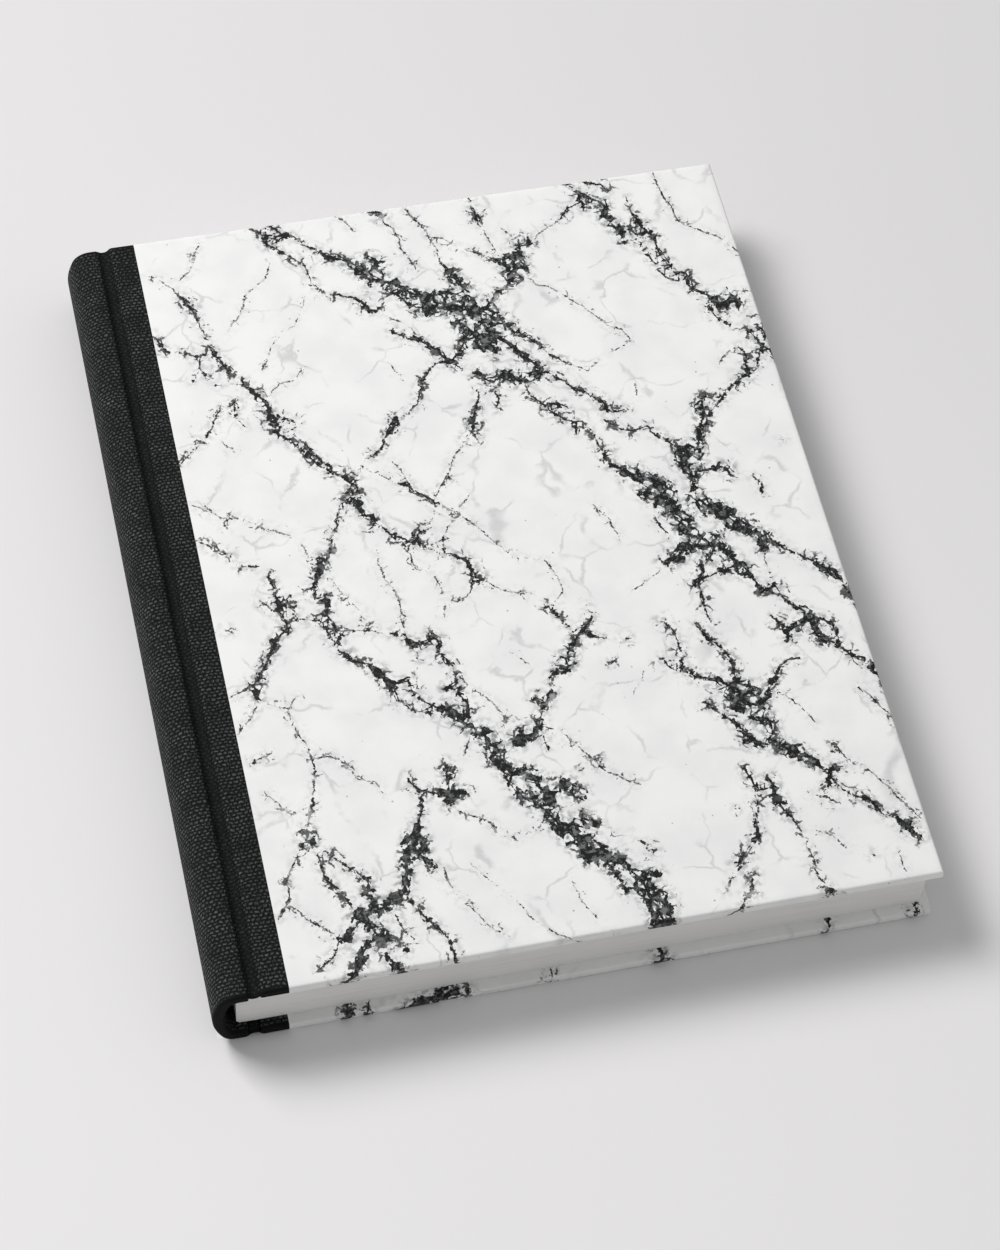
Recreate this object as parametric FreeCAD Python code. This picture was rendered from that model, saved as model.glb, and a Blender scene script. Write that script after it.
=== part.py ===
import FreeCAD, Part
import math
import os

Vector = FreeCAD.Vector

# Composition notebook lying on its back cover, in millimetres.
# X runs from the spine to the fore-edge, Y from tail to head, Z from the back cover to the front.
# While a piece is built, x is measured from the outermost line of the spine.
# The origin ends up under the middle of the closed book, on the surface it lies on.

# Text block and endpapers
leaf_length = 247.6
leaf_width = 191.5
block_thickness = 17.75
block_shoulder_radius = 6.0   # under the front joint
block_foot_radius = 1.0       # over the back joint
endpaper_thickness = 0.2
endleaf_wrap_angle = 20.0     # how far the end leaf follows the shoulder, in degrees

# Squares: how far the covers stand out past the leaves
end_square = 3.2
fore_edge_square = 2.7

# Boards and their covering
board_thickness = 2.5
board_edge_radius = 0.45
cloth_thickness = 0.35
cloth_turn_in = 15.0
cloth_on_board = 7.3          # width of cloth on a board, up to the cover paper
cover_paper_thickness = 0.35
paper_turn_in = 16.0
mitre_gap = 0.25
mitre_start = 1.2             # the mitre stays this far inside the outer corner

# Gauze that ties the block to the boards
mull_thickness = 0.35
mull_flap_width = 25.0
mull_end_clearance = 7.2      # from the turn-ins at head and tail
mull_shoulder_angle = 45.0

# Spine of the case
spine_board_thickness = 2.5
spine_edge_radius = 0.45
spine_hollow = 3.6            # air between the spine and the back of the block
spine_drop = 0.55             # the spine stands this much lower than the front cover
spine_bow_radius = 21.6
spine_bow_lift = 0.1          # the most prominent line stands this far over the middle
spine_shoulder_radius = 6.0
spine_foot_radius = 4.0

# Pressed groove between spine and board, where the cover turns
groove_offset = 4.5           # from the back of the block to the turning line
groove_depth = 1.9
groove_radius = 1.8
joint_gap = 0.3               # the cloth is parted by this much at the turning line

# Heights of the stack, from the table up
skin = max(cloth_thickness, cover_paper_thickness)
lining = max(skin, mull_thickness)
board_low = skin
board_high = board_low + board_thickness
pastedown_low = board_high + lining
endleaf_low = pastedown_low + endpaper_thickness
block_low = endleaf_low + endpaper_thickness
book_thickness = 2 * block_low + block_thickness
spine_top = book_thickness - spine_drop
spine_bow_height = spine_top / 2 + spine_bow_lift

# Places along X
block_back_x = spine_board_thickness + 2 * cloth_thickness + spine_hollow
fore_edge_x = block_back_x + leaf_width
case_width = fore_edge_x + fore_edge_square
board_outer_x = case_width - skin
window_outer_x = case_width - paper_turn_in
groove_x = block_back_x + groove_offset

# Half lengths along Y
leaf_half = leaf_length / 2
case_half = leaf_half + end_square
board_half = case_half - skin
window_half = case_half - paper_turn_in
mull_half = window_half - mull_end_clearance


def lip_reach(face_depth, lip_radius):
    """Distance from the groove's middle to the centre of the lip that the cloth turns over."""
    drop = face_depth + lip_radius - (groove_depth - groove_radius)
    return math.sqrt((lip_radius + groove_radius) ** 2 - drop ** 2)


board_lip_radius = board_edge_radius + cloth_thickness
spine_lip_radius = spine_edge_radius + cloth_thickness
board_inner_x = groove_x + lip_reach(0.0, board_lip_radius) - board_edge_radius
cloth_edge_x = board_inner_x + cloth_on_board


def arc(centre, radius, start_angle, end_angle):
    """Arc in the XZ plane, angles in degrees from +X towards +Z."""
    points = []
    for angle in (start_angle, (start_angle + end_angle) / 2, end_angle):
        turn = math.radians(angle)
        points.append(Vector(centre[0] + radius * math.cos(turn), 0, centre[1] + radius * math.sin(turn)))
    return Part.Arc(points[0], points[1], points[2]).toShape()


def line(x0, z0, x1, z1):
    return Part.makeLine(Vector(x0, 0, z0), Vector(x1, 0, z1))


def face_of(edges):
    return Part.Face(Part.Wire(edges))


def joined(path, inner_path):
    """Face between two runs of edges that go the same way, closed by straight ends."""
    first, last = path[0].Vertexes[0].Point, path[-1].Vertexes[-1].Point
    inner_first, inner_last = inner_path[0].Vertexes[0].Point, inner_path[-1].Vertexes[-1].Point
    ends = [Part.makeLine(last, inner_last), Part.makeLine(inner_first, first)]
    return Part.Face(Part.Wire(Part.__sortEdges__(path + inner_path + ends)))


def run_along(face, low_y, high_y):
    """Solid of a section carried along the spine direction."""
    moved = face.copy()
    moved.translate(Vector(0, low_y, 0))
    return moved.extrude(Vector(0, high_y - low_y, 0))


def box(low, high):
    return Part.makeBox(high[0] - low[0], high[1] - low[1], high[2] - low[2], Vector(*low))


def fused(shapes):
    whole = shapes[0]
    for shape in shapes[1:]:
        whole = whole.fuse(shape)
    return whole.removeSplitter()


def front(shape):
    """The front cover repeats the back cover, turned over about the middle of the thickness."""
    return shape.mirror(Vector(0, 0, book_thickness / 2), Vector(0, 0, 1))


def parting_point(depth, side):
    """Where the cloth of the back joint is parted, at a depth under its outer face.

    side is -1 on the spine's side of the turning line and 1 on the board's side.
    """
    radius = groove_radius + depth
    rise = math.sqrt(radius ** 2 - (joint_gap / 2) ** 2)
    return Vector(groove_x + side * joint_gap / 2, 0, groove_depth - groove_radius + rise)


def groove_arc(radius, face_depth, lip_radius, side):
    """Arc of the groove round its own centre, from the turning line to where the lip begins."""
    centre = (groove_x, groove_depth - groove_radius)
    parting = math.degrees(math.acos(side * joint_gap / 2 / radius))
    rise = face_depth + lip_radius - centre[1]
    toward_lip = math.degrees(math.atan2(rise, side * lip_reach(face_depth, lip_radius)))
    return arc(centre, radius, parting, toward_lip)


def groove_path(depth, face_depth, lip_radius, side):
    """Edges of the cloth's groove at a depth under its outer face, from the turning line to the lip."""
    reach = lip_reach(face_depth, lip_radius)
    lip_centre = (groove_x + side * reach, face_depth + lip_radius)
    toward_groove = math.degrees(math.atan2(groove_depth - groove_radius - lip_centre[1], -side * reach))
    outward = -90.0
    if side > 0:
        toward_groove += 360.0
        outward = 270.0
    return [
        groove_arc(groove_radius + depth, face_depth, lip_radius, side),
        arc(lip_centre, lip_radius - depth, toward_groove, outward),
    ]


def groove_lining(face_depth, lip_radius, side):
    """Section of the doubled cloth in the groove, as deep as the outer layer and the turn-in."""
    outer = groove_arc(groove_radius, face_depth, lip_radius, side)
    inner = groove_arc(groove_radius + 2 * cloth_thickness, face_depth, lip_radius, side)
    return joined([outer], [inner])


def grown_board(growth):
    """Back board grown evenly by the covering that is wrapped round it, with its edges rounded."""
    low = (board_inner_x - growth, -board_half - growth, board_low - growth)
    high = (board_outer_x + growth, board_half + growth, board_high + growth)
    block = box(low, high)
    return block.makeFillet(board_edge_radius + growth, block.Edges)


def board():
    return grown_board(0.0)


def board_wrap():
    """Board end grown by the cloth, as far as the cloth reaches, rounded where it is turned over."""
    growth = cloth_thickness
    low = (board_inner_x - growth, -board_half - growth, board_low - growth)
    block = box(low, (cloth_edge_x, board_half + growth, board_high + growth))
    turned = []
    for edge in block.Edges:
        ends = [vertex.Point for vertex in edge.Vertexes]
        along_x = abs(ends[0].x - ends[1].x) > growth
        at_joint = max(ends[0].x, ends[1].x) < board_inner_x and abs(ends[0].y - ends[1].y) > growth
        if along_x or at_joint:
            turned.append(edge)
    return block.makeFillet(board_edge_radius + growth, turned)


def board_cloth():
    """Cloth from the turning line over the edge of the board, turned in at head and tail."""
    end = board_half + cloth_thickness
    middle = end - cloth_turn_in
    lining_strip = run_along(groove_lining(0.0, board_lip_radius, 1), -end, end)
    whole = board_wrap().fuse(lining_strip)
    parting = parting_point(cloth_thickness, 1)
    lip_x, far_x = groove_x + lip_reach(0.0, board_lip_radius), cloth_edge_x + cloth_thickness
    tall = board_high + lining + cloth_thickness
    window = groove_path(cloth_thickness, 0.0, board_lip_radius, 1) + [
        line(lip_x, board_low, far_x, board_low),
        line(far_x, board_low, far_x, tall),
        line(far_x, tall, parting.x, tall),
        line(parting.x, tall, parting.x, parting.z),
    ]
    return whole.cut(board()).cut(run_along(face_of(window), -middle, middle)).removeSplitter()


def cover_paper():
    """Marbled paper over the board, turned in on three sides with mitred corners."""
    tall = board_high + 1
    paper = grown_board(cover_paper_thickness)
    paper = paper.common(box((cloth_edge_x, -2 * case_half, -1), (2 * case_width, 2 * case_half, tall)))
    paper = paper.cut(board())
    window = box((cloth_edge_x - 1, -window_half, board_high), (window_outer_x, window_half, tall))
    paper = paper.cut(window)
    for end in (-1, 1):
        mitre = box((mitre_start, -mitre_gap / 2, board_high), (paper_turn_in * 2, mitre_gap / 2, tall))
        mitre.rotate(Vector(0, 0, 0), Vector(0, 0, 1), 180 + end * 45)
        mitre.translate(Vector(case_width, end * case_half, 0))
        paper = paper.cut(mitre)
    return paper


def mull_flap():
    """Flap of the gauze, pasted on the inner face of the board."""
    low = (board_inner_x, -mull_half, board_high)
    return box(low, (board_inner_x + mull_flap_width, mull_half, board_high + mull_thickness))


def pastedown():
    """Endpaper on the inner face of a cover: over the turn-ins, and sunk onto the board inside them."""
    joint_x = groove_x + joint_gap / 2
    pocket_x = board_inner_x + mull_flap_width
    high = pastedown_low + endpaper_thickness
    sheet = box((joint_x, -leaf_half, pastedown_low), (fore_edge_x, leaf_half, high))
    sunk = box((pocket_x, -window_half, board_high), (window_outer_x, window_half, high))
    wall = endpaper_thickness
    hollow = box(
        (pocket_x + wall, -window_half + wall, board_high + wall),
        (window_outer_x - wall, window_half - wall, high),
    )
    return sheet.fuse(sunk).cut(hollow).removeSplitter()


def end_leaf(corner_radius):
    """Free half of an endpaper, lying on the block and starting down its back."""
    centre_x = block_back_x + corner_radius
    centre_z = block_low + corner_radius
    outer = corner_radius + endpaper_thickness
    stop = 270.0 - endleaf_wrap_angle
    over = [line(fore_edge_x, endleaf_low, centre_x, endleaf_low), arc((centre_x, centre_z), outer, 270, stop)]
    under = [line(fore_edge_x, block_low, centre_x, block_low)]
    under.append(arc((centre_x, centre_z), corner_radius, 270, stop))
    return run_along(joined(over, under), -leaf_half, leaf_half)


def text_block():
    """Sewn and pressed leaves with a rounded shoulder under the front joint."""
    high = block_low + block_thickness
    shoulder = (block_back_x + block_shoulder_radius, high - block_shoulder_radius)
    foot = (block_back_x + block_foot_radius, block_low + block_foot_radius)
    section = face_of([
        line(fore_edge_x, block_low, fore_edge_x, high),
        line(fore_edge_x, high, shoulder[0], high),
        arc(shoulder, block_shoulder_radius, 90, 180),
        line(block_back_x, shoulder[1], block_back_x, foot[1]),
        arc(foot, block_foot_radius, 180, 270),
        line(foot[0], block_low, fore_edge_x, block_low),
    ])
    return run_along(section, -leaf_half, leaf_half)


def mull_back():
    """Gauze glued over the back of the block."""
    high = block_low + block_thickness
    shoulder = (block_back_x + block_shoulder_radius, high - block_shoulder_radius)
    foot_z = block_low + block_foot_radius
    paths = []
    for growth in (0.0, mull_thickness):
        start = 180.0 - mull_shoulder_angle
        paths.append([
            arc(shoulder, block_shoulder_radius + growth, start, 180),
            line(block_back_x - growth, shoulder[1], block_back_x - growth, foot_z),
        ])
    return run_along(joined(paths[0], paths[1]), -mull_half, mull_half)


def spine_centres():
    """Centres of the shoulder and foot arcs, both touching the wide bow of the spine from inside."""
    centres = []
    for radius, height in (
        (spine_shoulder_radius, spine_top - spine_shoulder_radius),
        (spine_foot_radius, spine_foot_radius),
    ):
        rise = height - spine_bow_height
        centres.append((spine_bow_radius - math.sqrt((spine_bow_radius - radius) ** 2 - rise ** 2), height))
    return centres


def spine_lip_x(face_depth):
    return groove_x - lip_reach(face_depth, spine_lip_radius)


def spine_path(depth):
    """Edges of the spine's section at a depth under its outer face, from front lip to back lip."""
    shoulder, foot = spine_centres()
    bow = (spine_bow_radius, spine_bow_height)
    high_turn = math.degrees(math.atan2(shoulder[1] - bow[1], shoulder[0] - bow[0]))
    low_turn = math.degrees(math.atan2(foot[1] - bow[1], foot[0] - bow[0])) + 360
    return [
        line(spine_lip_x(spine_drop), spine_top - depth, shoulder[0], spine_top - depth),
        arc(shoulder, spine_shoulder_radius - depth, 90, high_turn),
        arc(bow, spine_bow_radius - depth, high_turn, low_turn),
        arc(foot, spine_foot_radius - depth, low_turn, 270),
        line(foot[0], depth, spine_lip_x(0.0), depth),
    ]


def grown_spine(growth):
    """Section of the formed spine board, grown evenly by the cloth that wraps it."""
    outer = spine_path(cloth_thickness - growth)
    inner = spine_path(cloth_thickness + spine_board_thickness + growth)
    inner_depth = cloth_thickness + spine_board_thickness + growth
    corner = spine_edge_radius + growth
    front_lip, back_lip = spine_lip_x(spine_drop), spine_lip_x(0.0)
    front_level, back_level = spine_top - spine_lip_radius, spine_lip_radius
    edges = outer + inner + [
        arc((front_lip, front_level), corner, 0, 90),
        line(front_lip + corner, front_level, front_lip + corner, spine_top - inner_depth),
        line(front_lip + corner, spine_top - inner_depth, front_lip, spine_top - inner_depth),
        arc((back_lip, back_level), corner, 270, 360),
        line(back_lip + corner, back_level, back_lip + corner, inner_depth),
        line(back_lip + corner, inner_depth, back_lip, inner_depth),
    ]
    return Part.Face(Part.Wire(Part.__sortEdges__(edges)))


def spine_board():
    half = case_half - cloth_thickness
    return run_along(grown_spine(0.0), -half, half)


def spine_cloth():
    """Cloth round the spine from turning line to turning line, turned in at head and tail."""
    half = case_half
    edges = []
    for depth in (0.0, cloth_thickness):
        edges += spine_path(depth) + groove_path(depth, 0.0, spine_lip_radius, -1)
        edges += [front(edge) for edge in groove_path(depth, spine_drop, spine_lip_radius, -1)]
    parting = Part.makeLine(parting_point(0.0, -1), parting_point(cloth_thickness, -1))
    edges += [parting, front(parting)]
    skin_face = Part.Face(Part.Wire(Part.__sortEdges__(edges)))
    pieces = [run_along(skin_face, -half, half)]
    for low_y, high_y in ((-half, cloth_turn_in - half), (half - cloth_turn_in, half)):
        pieces.append(run_along(grown_spine(cloth_thickness), low_y, high_y))
        pieces.append(run_along(groove_lining(0.0, spine_lip_radius, -1), low_y, high_y))
        pieces.append(front(run_along(groove_lining(spine_drop, spine_lip_radius, -1), low_y, high_y)))
    return fused(pieces).cut(spine_board())


pieces = {
    "text_block": text_block(),
    "mull": mull_back(),
    "front_flyleaf": front(end_leaf(block_shoulder_radius)),
    "back_flyleaf": end_leaf(block_foot_radius),
    "spine_board": spine_board(),
    "spine_cloth": spine_cloth(),
    "front_board": front(board()),
    "back_board": board(),
    "front_board_cloth": front(board_cloth()),
    "back_board_cloth": board_cloth(),
    "front_cover_paper": front(cover_paper()),
    "back_cover_paper": cover_paper(),
    "front_mull_flap": front(mull_flap()),
    "back_mull_flap": mull_flap(),
    "front_pastedown": front(pastedown()),
    "back_pastedown": pastedown(),
}

os.makedirs("parts", exist_ok=True)
for name, shape in pieces.items():
    shape.translate(Vector(-case_width / 2, 0, 0))
    shape.exportStep("parts/" + name + ".step")
    print(name, len(shape.Solids), shape.isValid(), round(shape.Volume, 1))
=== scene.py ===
import math
import random
from functools import partial

import bmesh
import bpy
import numpy as np
from mathutils import Euler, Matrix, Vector, noise


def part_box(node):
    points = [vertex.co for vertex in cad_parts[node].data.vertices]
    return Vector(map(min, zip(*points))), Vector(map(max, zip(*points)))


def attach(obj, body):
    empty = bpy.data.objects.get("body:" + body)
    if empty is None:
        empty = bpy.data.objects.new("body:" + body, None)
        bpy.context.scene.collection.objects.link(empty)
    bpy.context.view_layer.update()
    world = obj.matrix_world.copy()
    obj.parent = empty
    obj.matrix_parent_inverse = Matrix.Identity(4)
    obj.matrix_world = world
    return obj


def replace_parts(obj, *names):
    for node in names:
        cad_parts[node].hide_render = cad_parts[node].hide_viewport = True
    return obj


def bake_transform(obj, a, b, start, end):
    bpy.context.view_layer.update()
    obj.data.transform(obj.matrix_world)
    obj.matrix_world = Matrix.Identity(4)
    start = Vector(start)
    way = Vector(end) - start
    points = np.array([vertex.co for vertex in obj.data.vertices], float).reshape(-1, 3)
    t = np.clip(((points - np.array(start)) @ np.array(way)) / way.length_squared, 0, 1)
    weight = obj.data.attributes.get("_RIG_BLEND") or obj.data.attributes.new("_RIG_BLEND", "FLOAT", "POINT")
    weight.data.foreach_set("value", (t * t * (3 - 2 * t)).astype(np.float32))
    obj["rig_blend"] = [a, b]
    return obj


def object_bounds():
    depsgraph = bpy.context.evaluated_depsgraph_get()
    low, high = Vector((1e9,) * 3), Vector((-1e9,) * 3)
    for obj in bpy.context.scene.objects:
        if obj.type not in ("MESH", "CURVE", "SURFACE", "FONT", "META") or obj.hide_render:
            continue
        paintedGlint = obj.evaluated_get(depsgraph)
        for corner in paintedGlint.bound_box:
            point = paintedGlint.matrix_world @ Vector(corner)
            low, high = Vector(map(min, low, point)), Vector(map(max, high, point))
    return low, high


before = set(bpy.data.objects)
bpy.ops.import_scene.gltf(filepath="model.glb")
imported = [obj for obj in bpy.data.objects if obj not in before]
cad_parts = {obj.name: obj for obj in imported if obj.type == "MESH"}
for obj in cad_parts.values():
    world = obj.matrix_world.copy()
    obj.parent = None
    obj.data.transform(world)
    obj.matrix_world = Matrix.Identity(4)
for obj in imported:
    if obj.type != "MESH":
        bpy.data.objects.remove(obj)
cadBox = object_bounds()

scene = bpy.context.scene
scene.view_settings.view_transform = "Standard"
mm = 0.001
sharpAngle = 38          # degrees between two faces, past which their edge is shaded sharp
case = {
    "width": (cadBox[1][0] - cadBox[0][0]) / mm,       # spine line to fore-edge
    "height": (cadBox[1][1] - cadBox[0][1]) / mm,      # tail to head
    "thickness": (cadBox[1][2] - cadBox[0][2]) / mm,   # closed book
}
halfHeight = case["height"] / 2


def place(x, y, z):  # book millimetres, x from the spine line and y from the middle, to the frame
    return Vector(((x - case["width"] / 2) * mm, y * mm, z * mm))


def inBook(node):  # a node's lowest and highest corner in book millimetres
    low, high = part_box(node)
    shift = Vector((case["width"] / 2, 0, 0))
    return low / mm + shift, high / mm + shift


def arc(centre, radius, start, end, steps):  # points of an arc, angles in degrees, without its first point
    points = []
    for i in range(1, steps + 1):
        a = math.radians(start + (end - start) * i / steps)
        points.append((centre[0] + radius * math.cos(a), centre[1] + radius * math.sin(a)))
    return points


def straight(start, end, steps):  # points of a line, without its first point
    return [(start[0] + (end[0] - start[0]) * i / steps, start[1] + (end[1] - start[1]) * i / steps)
            for i in range(1, steps + 1)]


def newPiece(bm, name, material):
    mesh = bpy.data.meshes.new(name)
    bm.to_mesh(mesh)
    bm.free()
    mesh.materials.append(material)
    mesh.shade_smooth()
    mesh.set_sharp_from_angle(angle=math.radians(sharpAngle))
    piece = bpy.data.objects.new(name, mesh)
    scene.collection.objects.link(piece)
    return piece


# Materials

nodeFor = {"SMOOTHSTEP": ("MapRange", "interpolation_type")}     # some nodes are asked for by what they do
for job in ("ADD", "SUBTRACT", "MULTIPLY", "MAXIMUM", "MINIMUM", "ABSOLUTE", "POWER", "SINE"):
    nodeFor[job] = ("Math", "operation")


def hexToLinear(code):
    channels = [int(code[i:i + 2], 16) / 255 for i in (1, 3, 5)]
    return tuple(c / 12.92 if c <= 0.04045 else ((c + 0.055) / 1.055) ** 2.4 for c in channels) + (1,)


def addNode(tree, kind, inputs=(), output=0, **settings):  # inputs are links, numbers or hex colours
    if kind in nodeFor:
        settings[nodeFor[kind][1]] = kind
        kind = nodeFor[kind][0]
    node = tree.nodes.new("ShaderNode" + kind)
    for name, value in settings.items():
        setattr(node, name, value)
    for key, value in inputs.items() if isinstance(inputs, dict) else enumerate(inputs):
        if isinstance(value, bpy.types.NodeSocket):
            tree.links.new(value, node.inputs[key])
        else:
            node.inputs[key].default_value = hexToLinear(value) if isinstance(value, str) else value
    return node.outputs[output] if node.outputs else None


def newMaterial(name):  # the material, and addNode for its own tree
    material = bpy.data.materials.new(name)
    material.use_nodes = True
    material.node_tree.nodes.clear()
    return material, partial(addNode, material.node_tree)


def finishSurface(add, colour, roughness, height, strength, distance, specular=0.5):
    bump = add("Bump", {"Height": height, "Strength": strength, "Distance": distance})
    return add("BsdfPrincipled", {"Base Color": colour, "Roughness": roughness, "Normal": bump,
                                  "Specular IOR Level": specular})


def bookClothMaterial():  # starch-filled buckram, dyed black: its weft floats get a lighter colour, a painted highlight in short dashes
    weave = {"pick": 1.12, "float": 1.5, "gap": 0.5,       # drawn twice as coarse as real threads, to show
             "slub": (9.0, 1.8), "waver": (1.9, 1.2),      # how the threads wander: size and reach
             "fuzz": 1.6, "wear": 0.12,                    # patches to a millimetre
             # thread is not the cloth's dyed colour: it is the painted highlight on the floats, far lighter
             # than the black base
             "base": "#111212", "thread": "#5f6262", "rough": 0.5, "specular": 0.07}
    material, add = newMaterial("Black starch-filled buckram")
    uv = add("UVMap", uv_map="weave")                      # millimetres of the flat cloth
    for size, by in (weave["slub"], weave["waver"]):
        sway = add("TexNoise", {"Vector": uv, "Scale": 1 / size, "Detail": 3.0}, "Color")
        uv = add("VectorMath", (sway, (by, by, 0), uv), operation="MULTIPLY_ADD")
    picks = add("TexBrick", {
        "Vector": uv, "Scale": 1.0, "Mortar Size": weave["gap"], "Mortar Smooth": 1.0,
        "Brick Width": weave["float"], "Row Height": weave["pick"]}, "Fac", offset=0.5, offset_frequency=2)
    threads = add("SUBTRACT", (1.0, picks))                # floats that run across the spine
    along = add("SeparateXYZ", [add("TexCoord", output="Object")], 1)
    ends = add("SMOOTHSTEP", (add("ABSOLUTE", [along]), (halfHeight - 1.5) * mm, (halfHeight - 0.6) * mm,
                              1.0, 0.08))                  # rubbed flat where the cloth turns in
    # in the groove the weave is pressed flat, and its floats fade to near-black there: flattened weave, and
    # painted shade in the groove's valley
    groove = add("Attribute", output="Fac", attribute_name="pressed")
    pressed = add("SMOOTHSTEP", (groove, 0.0, 1.0, 1.0, 0.3))
    raised = add("MULTIPLY", (add("MULTIPLY", (threads, ends)), pressed))
    fuzz = add("TexNoise", {"Vector": uv, "Scale": weave["fuzz"], "Detail": 4.0}, "Fac")
    wear = add("TexNoise", {"Vector": uv, "Scale": weave["wear"], "Detail": 3.0}, "Fac")
    # paintedGlint: where the raised floats take the lighter thread colour, a painted highlight
    paintedGlint = add("MULTIPLY", (add("POWER", (raised, 1.3)), add("SMOOTHSTEP", (fuzz, 0.36, 0.62, 0.06))))
    paintedGlint = add("MULTIPLY", (paintedGlint, add("SMOOTHSTEP", (wear, 0.3, 0.7, 0.5))))
    colour = add("Mix", {0: paintedGlint, 6: weave["base"], 7: weave["thread"]}, 2, data_type="RGBA")
    rough = add("SMOOTHSTEP", (raised, 0.0, 1.0, weave["rough"] + 0.25, weave["rough"] - 0.1))
    surface = finishSurface(add, colour, rough, raised, 0.8, 0.3 * mm, weave["specular"])
    add("OutputMaterial", {"Surface": surface})
    return material


def marbledPaperMaterial():  # coated paper, litho printed: fine black lines that net together into masses
    ink = {"black": "#0c0d0d", "fleck": "#6c6d6e", "paper": "#efefed", "shade": "#e7e7e6", "halo": "#939495",
           "specular": 0.28}
    stirs = {"grain": (1.1, 0.9, 3.0), "net": (2.4, 2.0, 3.0),       # size in millimetres, reach and detail
             "twig": (2.6, 2.4, 3.0), "hair": (9.0, 12.0, 5.0)}
    cellSizes = {"grain": (1.25, "F1", "grain"), "dust": (0.6, "F1", "grain"), "window": (3.3, "F1", "net"),
                 "net": (3.3, "DISTANCE_TO_EDGE", "net"), "twig": (5.0, "DISTANCE_TO_EDGE", "twig"),
                 "hair": (21.0, "DISTANCE_TO_EDGE", "hair"), "dot": (4.2, "F1", "sheet")}
    cloudSizes = {"patch": (3.2, 2.0), "wander": (1.4, 4.0), "gap": (7.0, 3.0), "thicket": (5.5, 3.0),
                  "fading": (2.6, 3.0), "wash": (2.3, 4.0), "fleck": (1.6, 3.0), "mist": (1.9, 4.0),
                  "hair": (11.0, 4.0), "tint": (14.0, 5.0), "gloss": (6.0, 2.0), "grit": (1.3, 3.0)}
    material, add = newMaterial("Coated paper, litho-printed marble")
    sheet = add("UVMap", uv_map="sheet")                   # millimetres of the flat sheet
    places = {"sheet": sheet}
    for name, (size, reach, detail) in stirs.items():      # the same, stirred
        swirl = add("TexNoise", {"Vector": sheet, "Scale": 1 / size, "Detail": detail}, "Color")
        places[name] = add("VectorMath", (swirl, (reach, reach, 0), sheet), operation="MULTIPLY_ADD")
    cells = {name: add("TexVoronoi", {"Vector": places[stir], "Scale": 1 / size}, "Distance", feature=feature)
             for name, (size, feature, stir) in cellSizes.items()}
    cloud = {name: add("TexNoise", {"Vector": sheet, "Scale": 1 / size, "Detail": detail}, "Fac")
             for name, (size, detail) in cloudSizes.items()}

    def chance(cell, channel, amount):  # one draw for each cell, from minus to plus half of amount
        drawn = add("SeparateColor", [cells[cell].node.outputs["Color"]], channel)
        return add("MULTIPLY", (add("SUBTRACT", (drawn, 0.5)), amount))

    def total(*values):
        result = values[0]
        for value in values[1:]:
            result = add("ADD", (result, value))
        return result

    across, away, half, tone = (add("Attribute", output="Fac", attribute_name=name)
                                for name in ("veinAcross", "veinAway", "veinHalf", "veinTone"))
    nearLine = add("SMOOTHSTEP", (away, 0.9, 1.4, 1.0, 0.0))
    inside = add("Mix", {                                  # depth inside the vein's outline
        0: nearLine, 2: add("SUBTRACT", (half, away)),
        3: add("SUBTRACT", (half, add("ABSOLUTE", [across])))}, data_type="FLOAT")

    # the masses: a net of ink whose cells stay white or fill up, from patch to patch
    netSize = cellSizes["net"][0]
    window = add("SMOOTHSTEP", (chance("window", 0, 1.0), 0.0, 0.1, netSize, netSize * 3.0))
    net = add("MULTIPLY", (cells["net"], window))          # window opens every other cell
    wider = total(inside, add("SMOOTHSTEP", (half, 0.6, 2.2, 0.0, 0.6)))
    patch = add("SUBTRACT", (cloud["patch"], 0.5))
    swing = add("MULTIPLY", (patch, add("MULTIPLY", (add("MINIMUM", (half, 1.8)), 2.6))))
    cover = add("MULTIPLY", (add("SMOOTHSTEP", (total(wider, swing), -0.9, 1.1)),
                             add("SMOOTHSTEP", (half, 0.2, 1.4, 0.7, 1.0))))
    blot = add("MULTIPLY", (add("SMOOTHSTEP", (patch, 0.04, 0.16, 0.0, 0.85)),
                            add("SMOOTHSTEP", (inside, 0.1, 0.9))))
    ragged = total(chance("grain", 0, 0.8), chance("dust", 1, 0.4))
    weaker = add("MULTIPLY", (add("SUBTRACT", (tone, 1.0)), 0.45))
    level = total(cover, blot, add("MULTIPLY", (net, -1.0)), ragged, weaker, -0.16,
                  add("SMOOTHSTEP", (cover, 0.0, 0.3, -0.9, 0.0)))
    inked = add("SMOOTHSTEP", (level, -0.06, 0.08))

    # the fine line along each vein
    wander = add("MULTIPLY", (add("SUBTRACT", (cloud["wander"], 0.5)), 1.3))
    core = total(add("MULTIPLY", (add("MINIMUM", (half, 1.2)), 0.35)), 0.08,
                 add("MULTIPLY", (add("ABSOLUTE", [total(across, wander)]), -1.0)), chance("dust", 1, 0.35),
                 add("SMOOTHSTEP", (cloud["gap"], 0.36, 0.5, -0.35, 0.0)))
    core = add("MULTIPLY", (add("SMOOTHSTEP", (core, -0.08, 0.1)), nearLine))
    inked = add("MAXIMUM", (inked, core))

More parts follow.
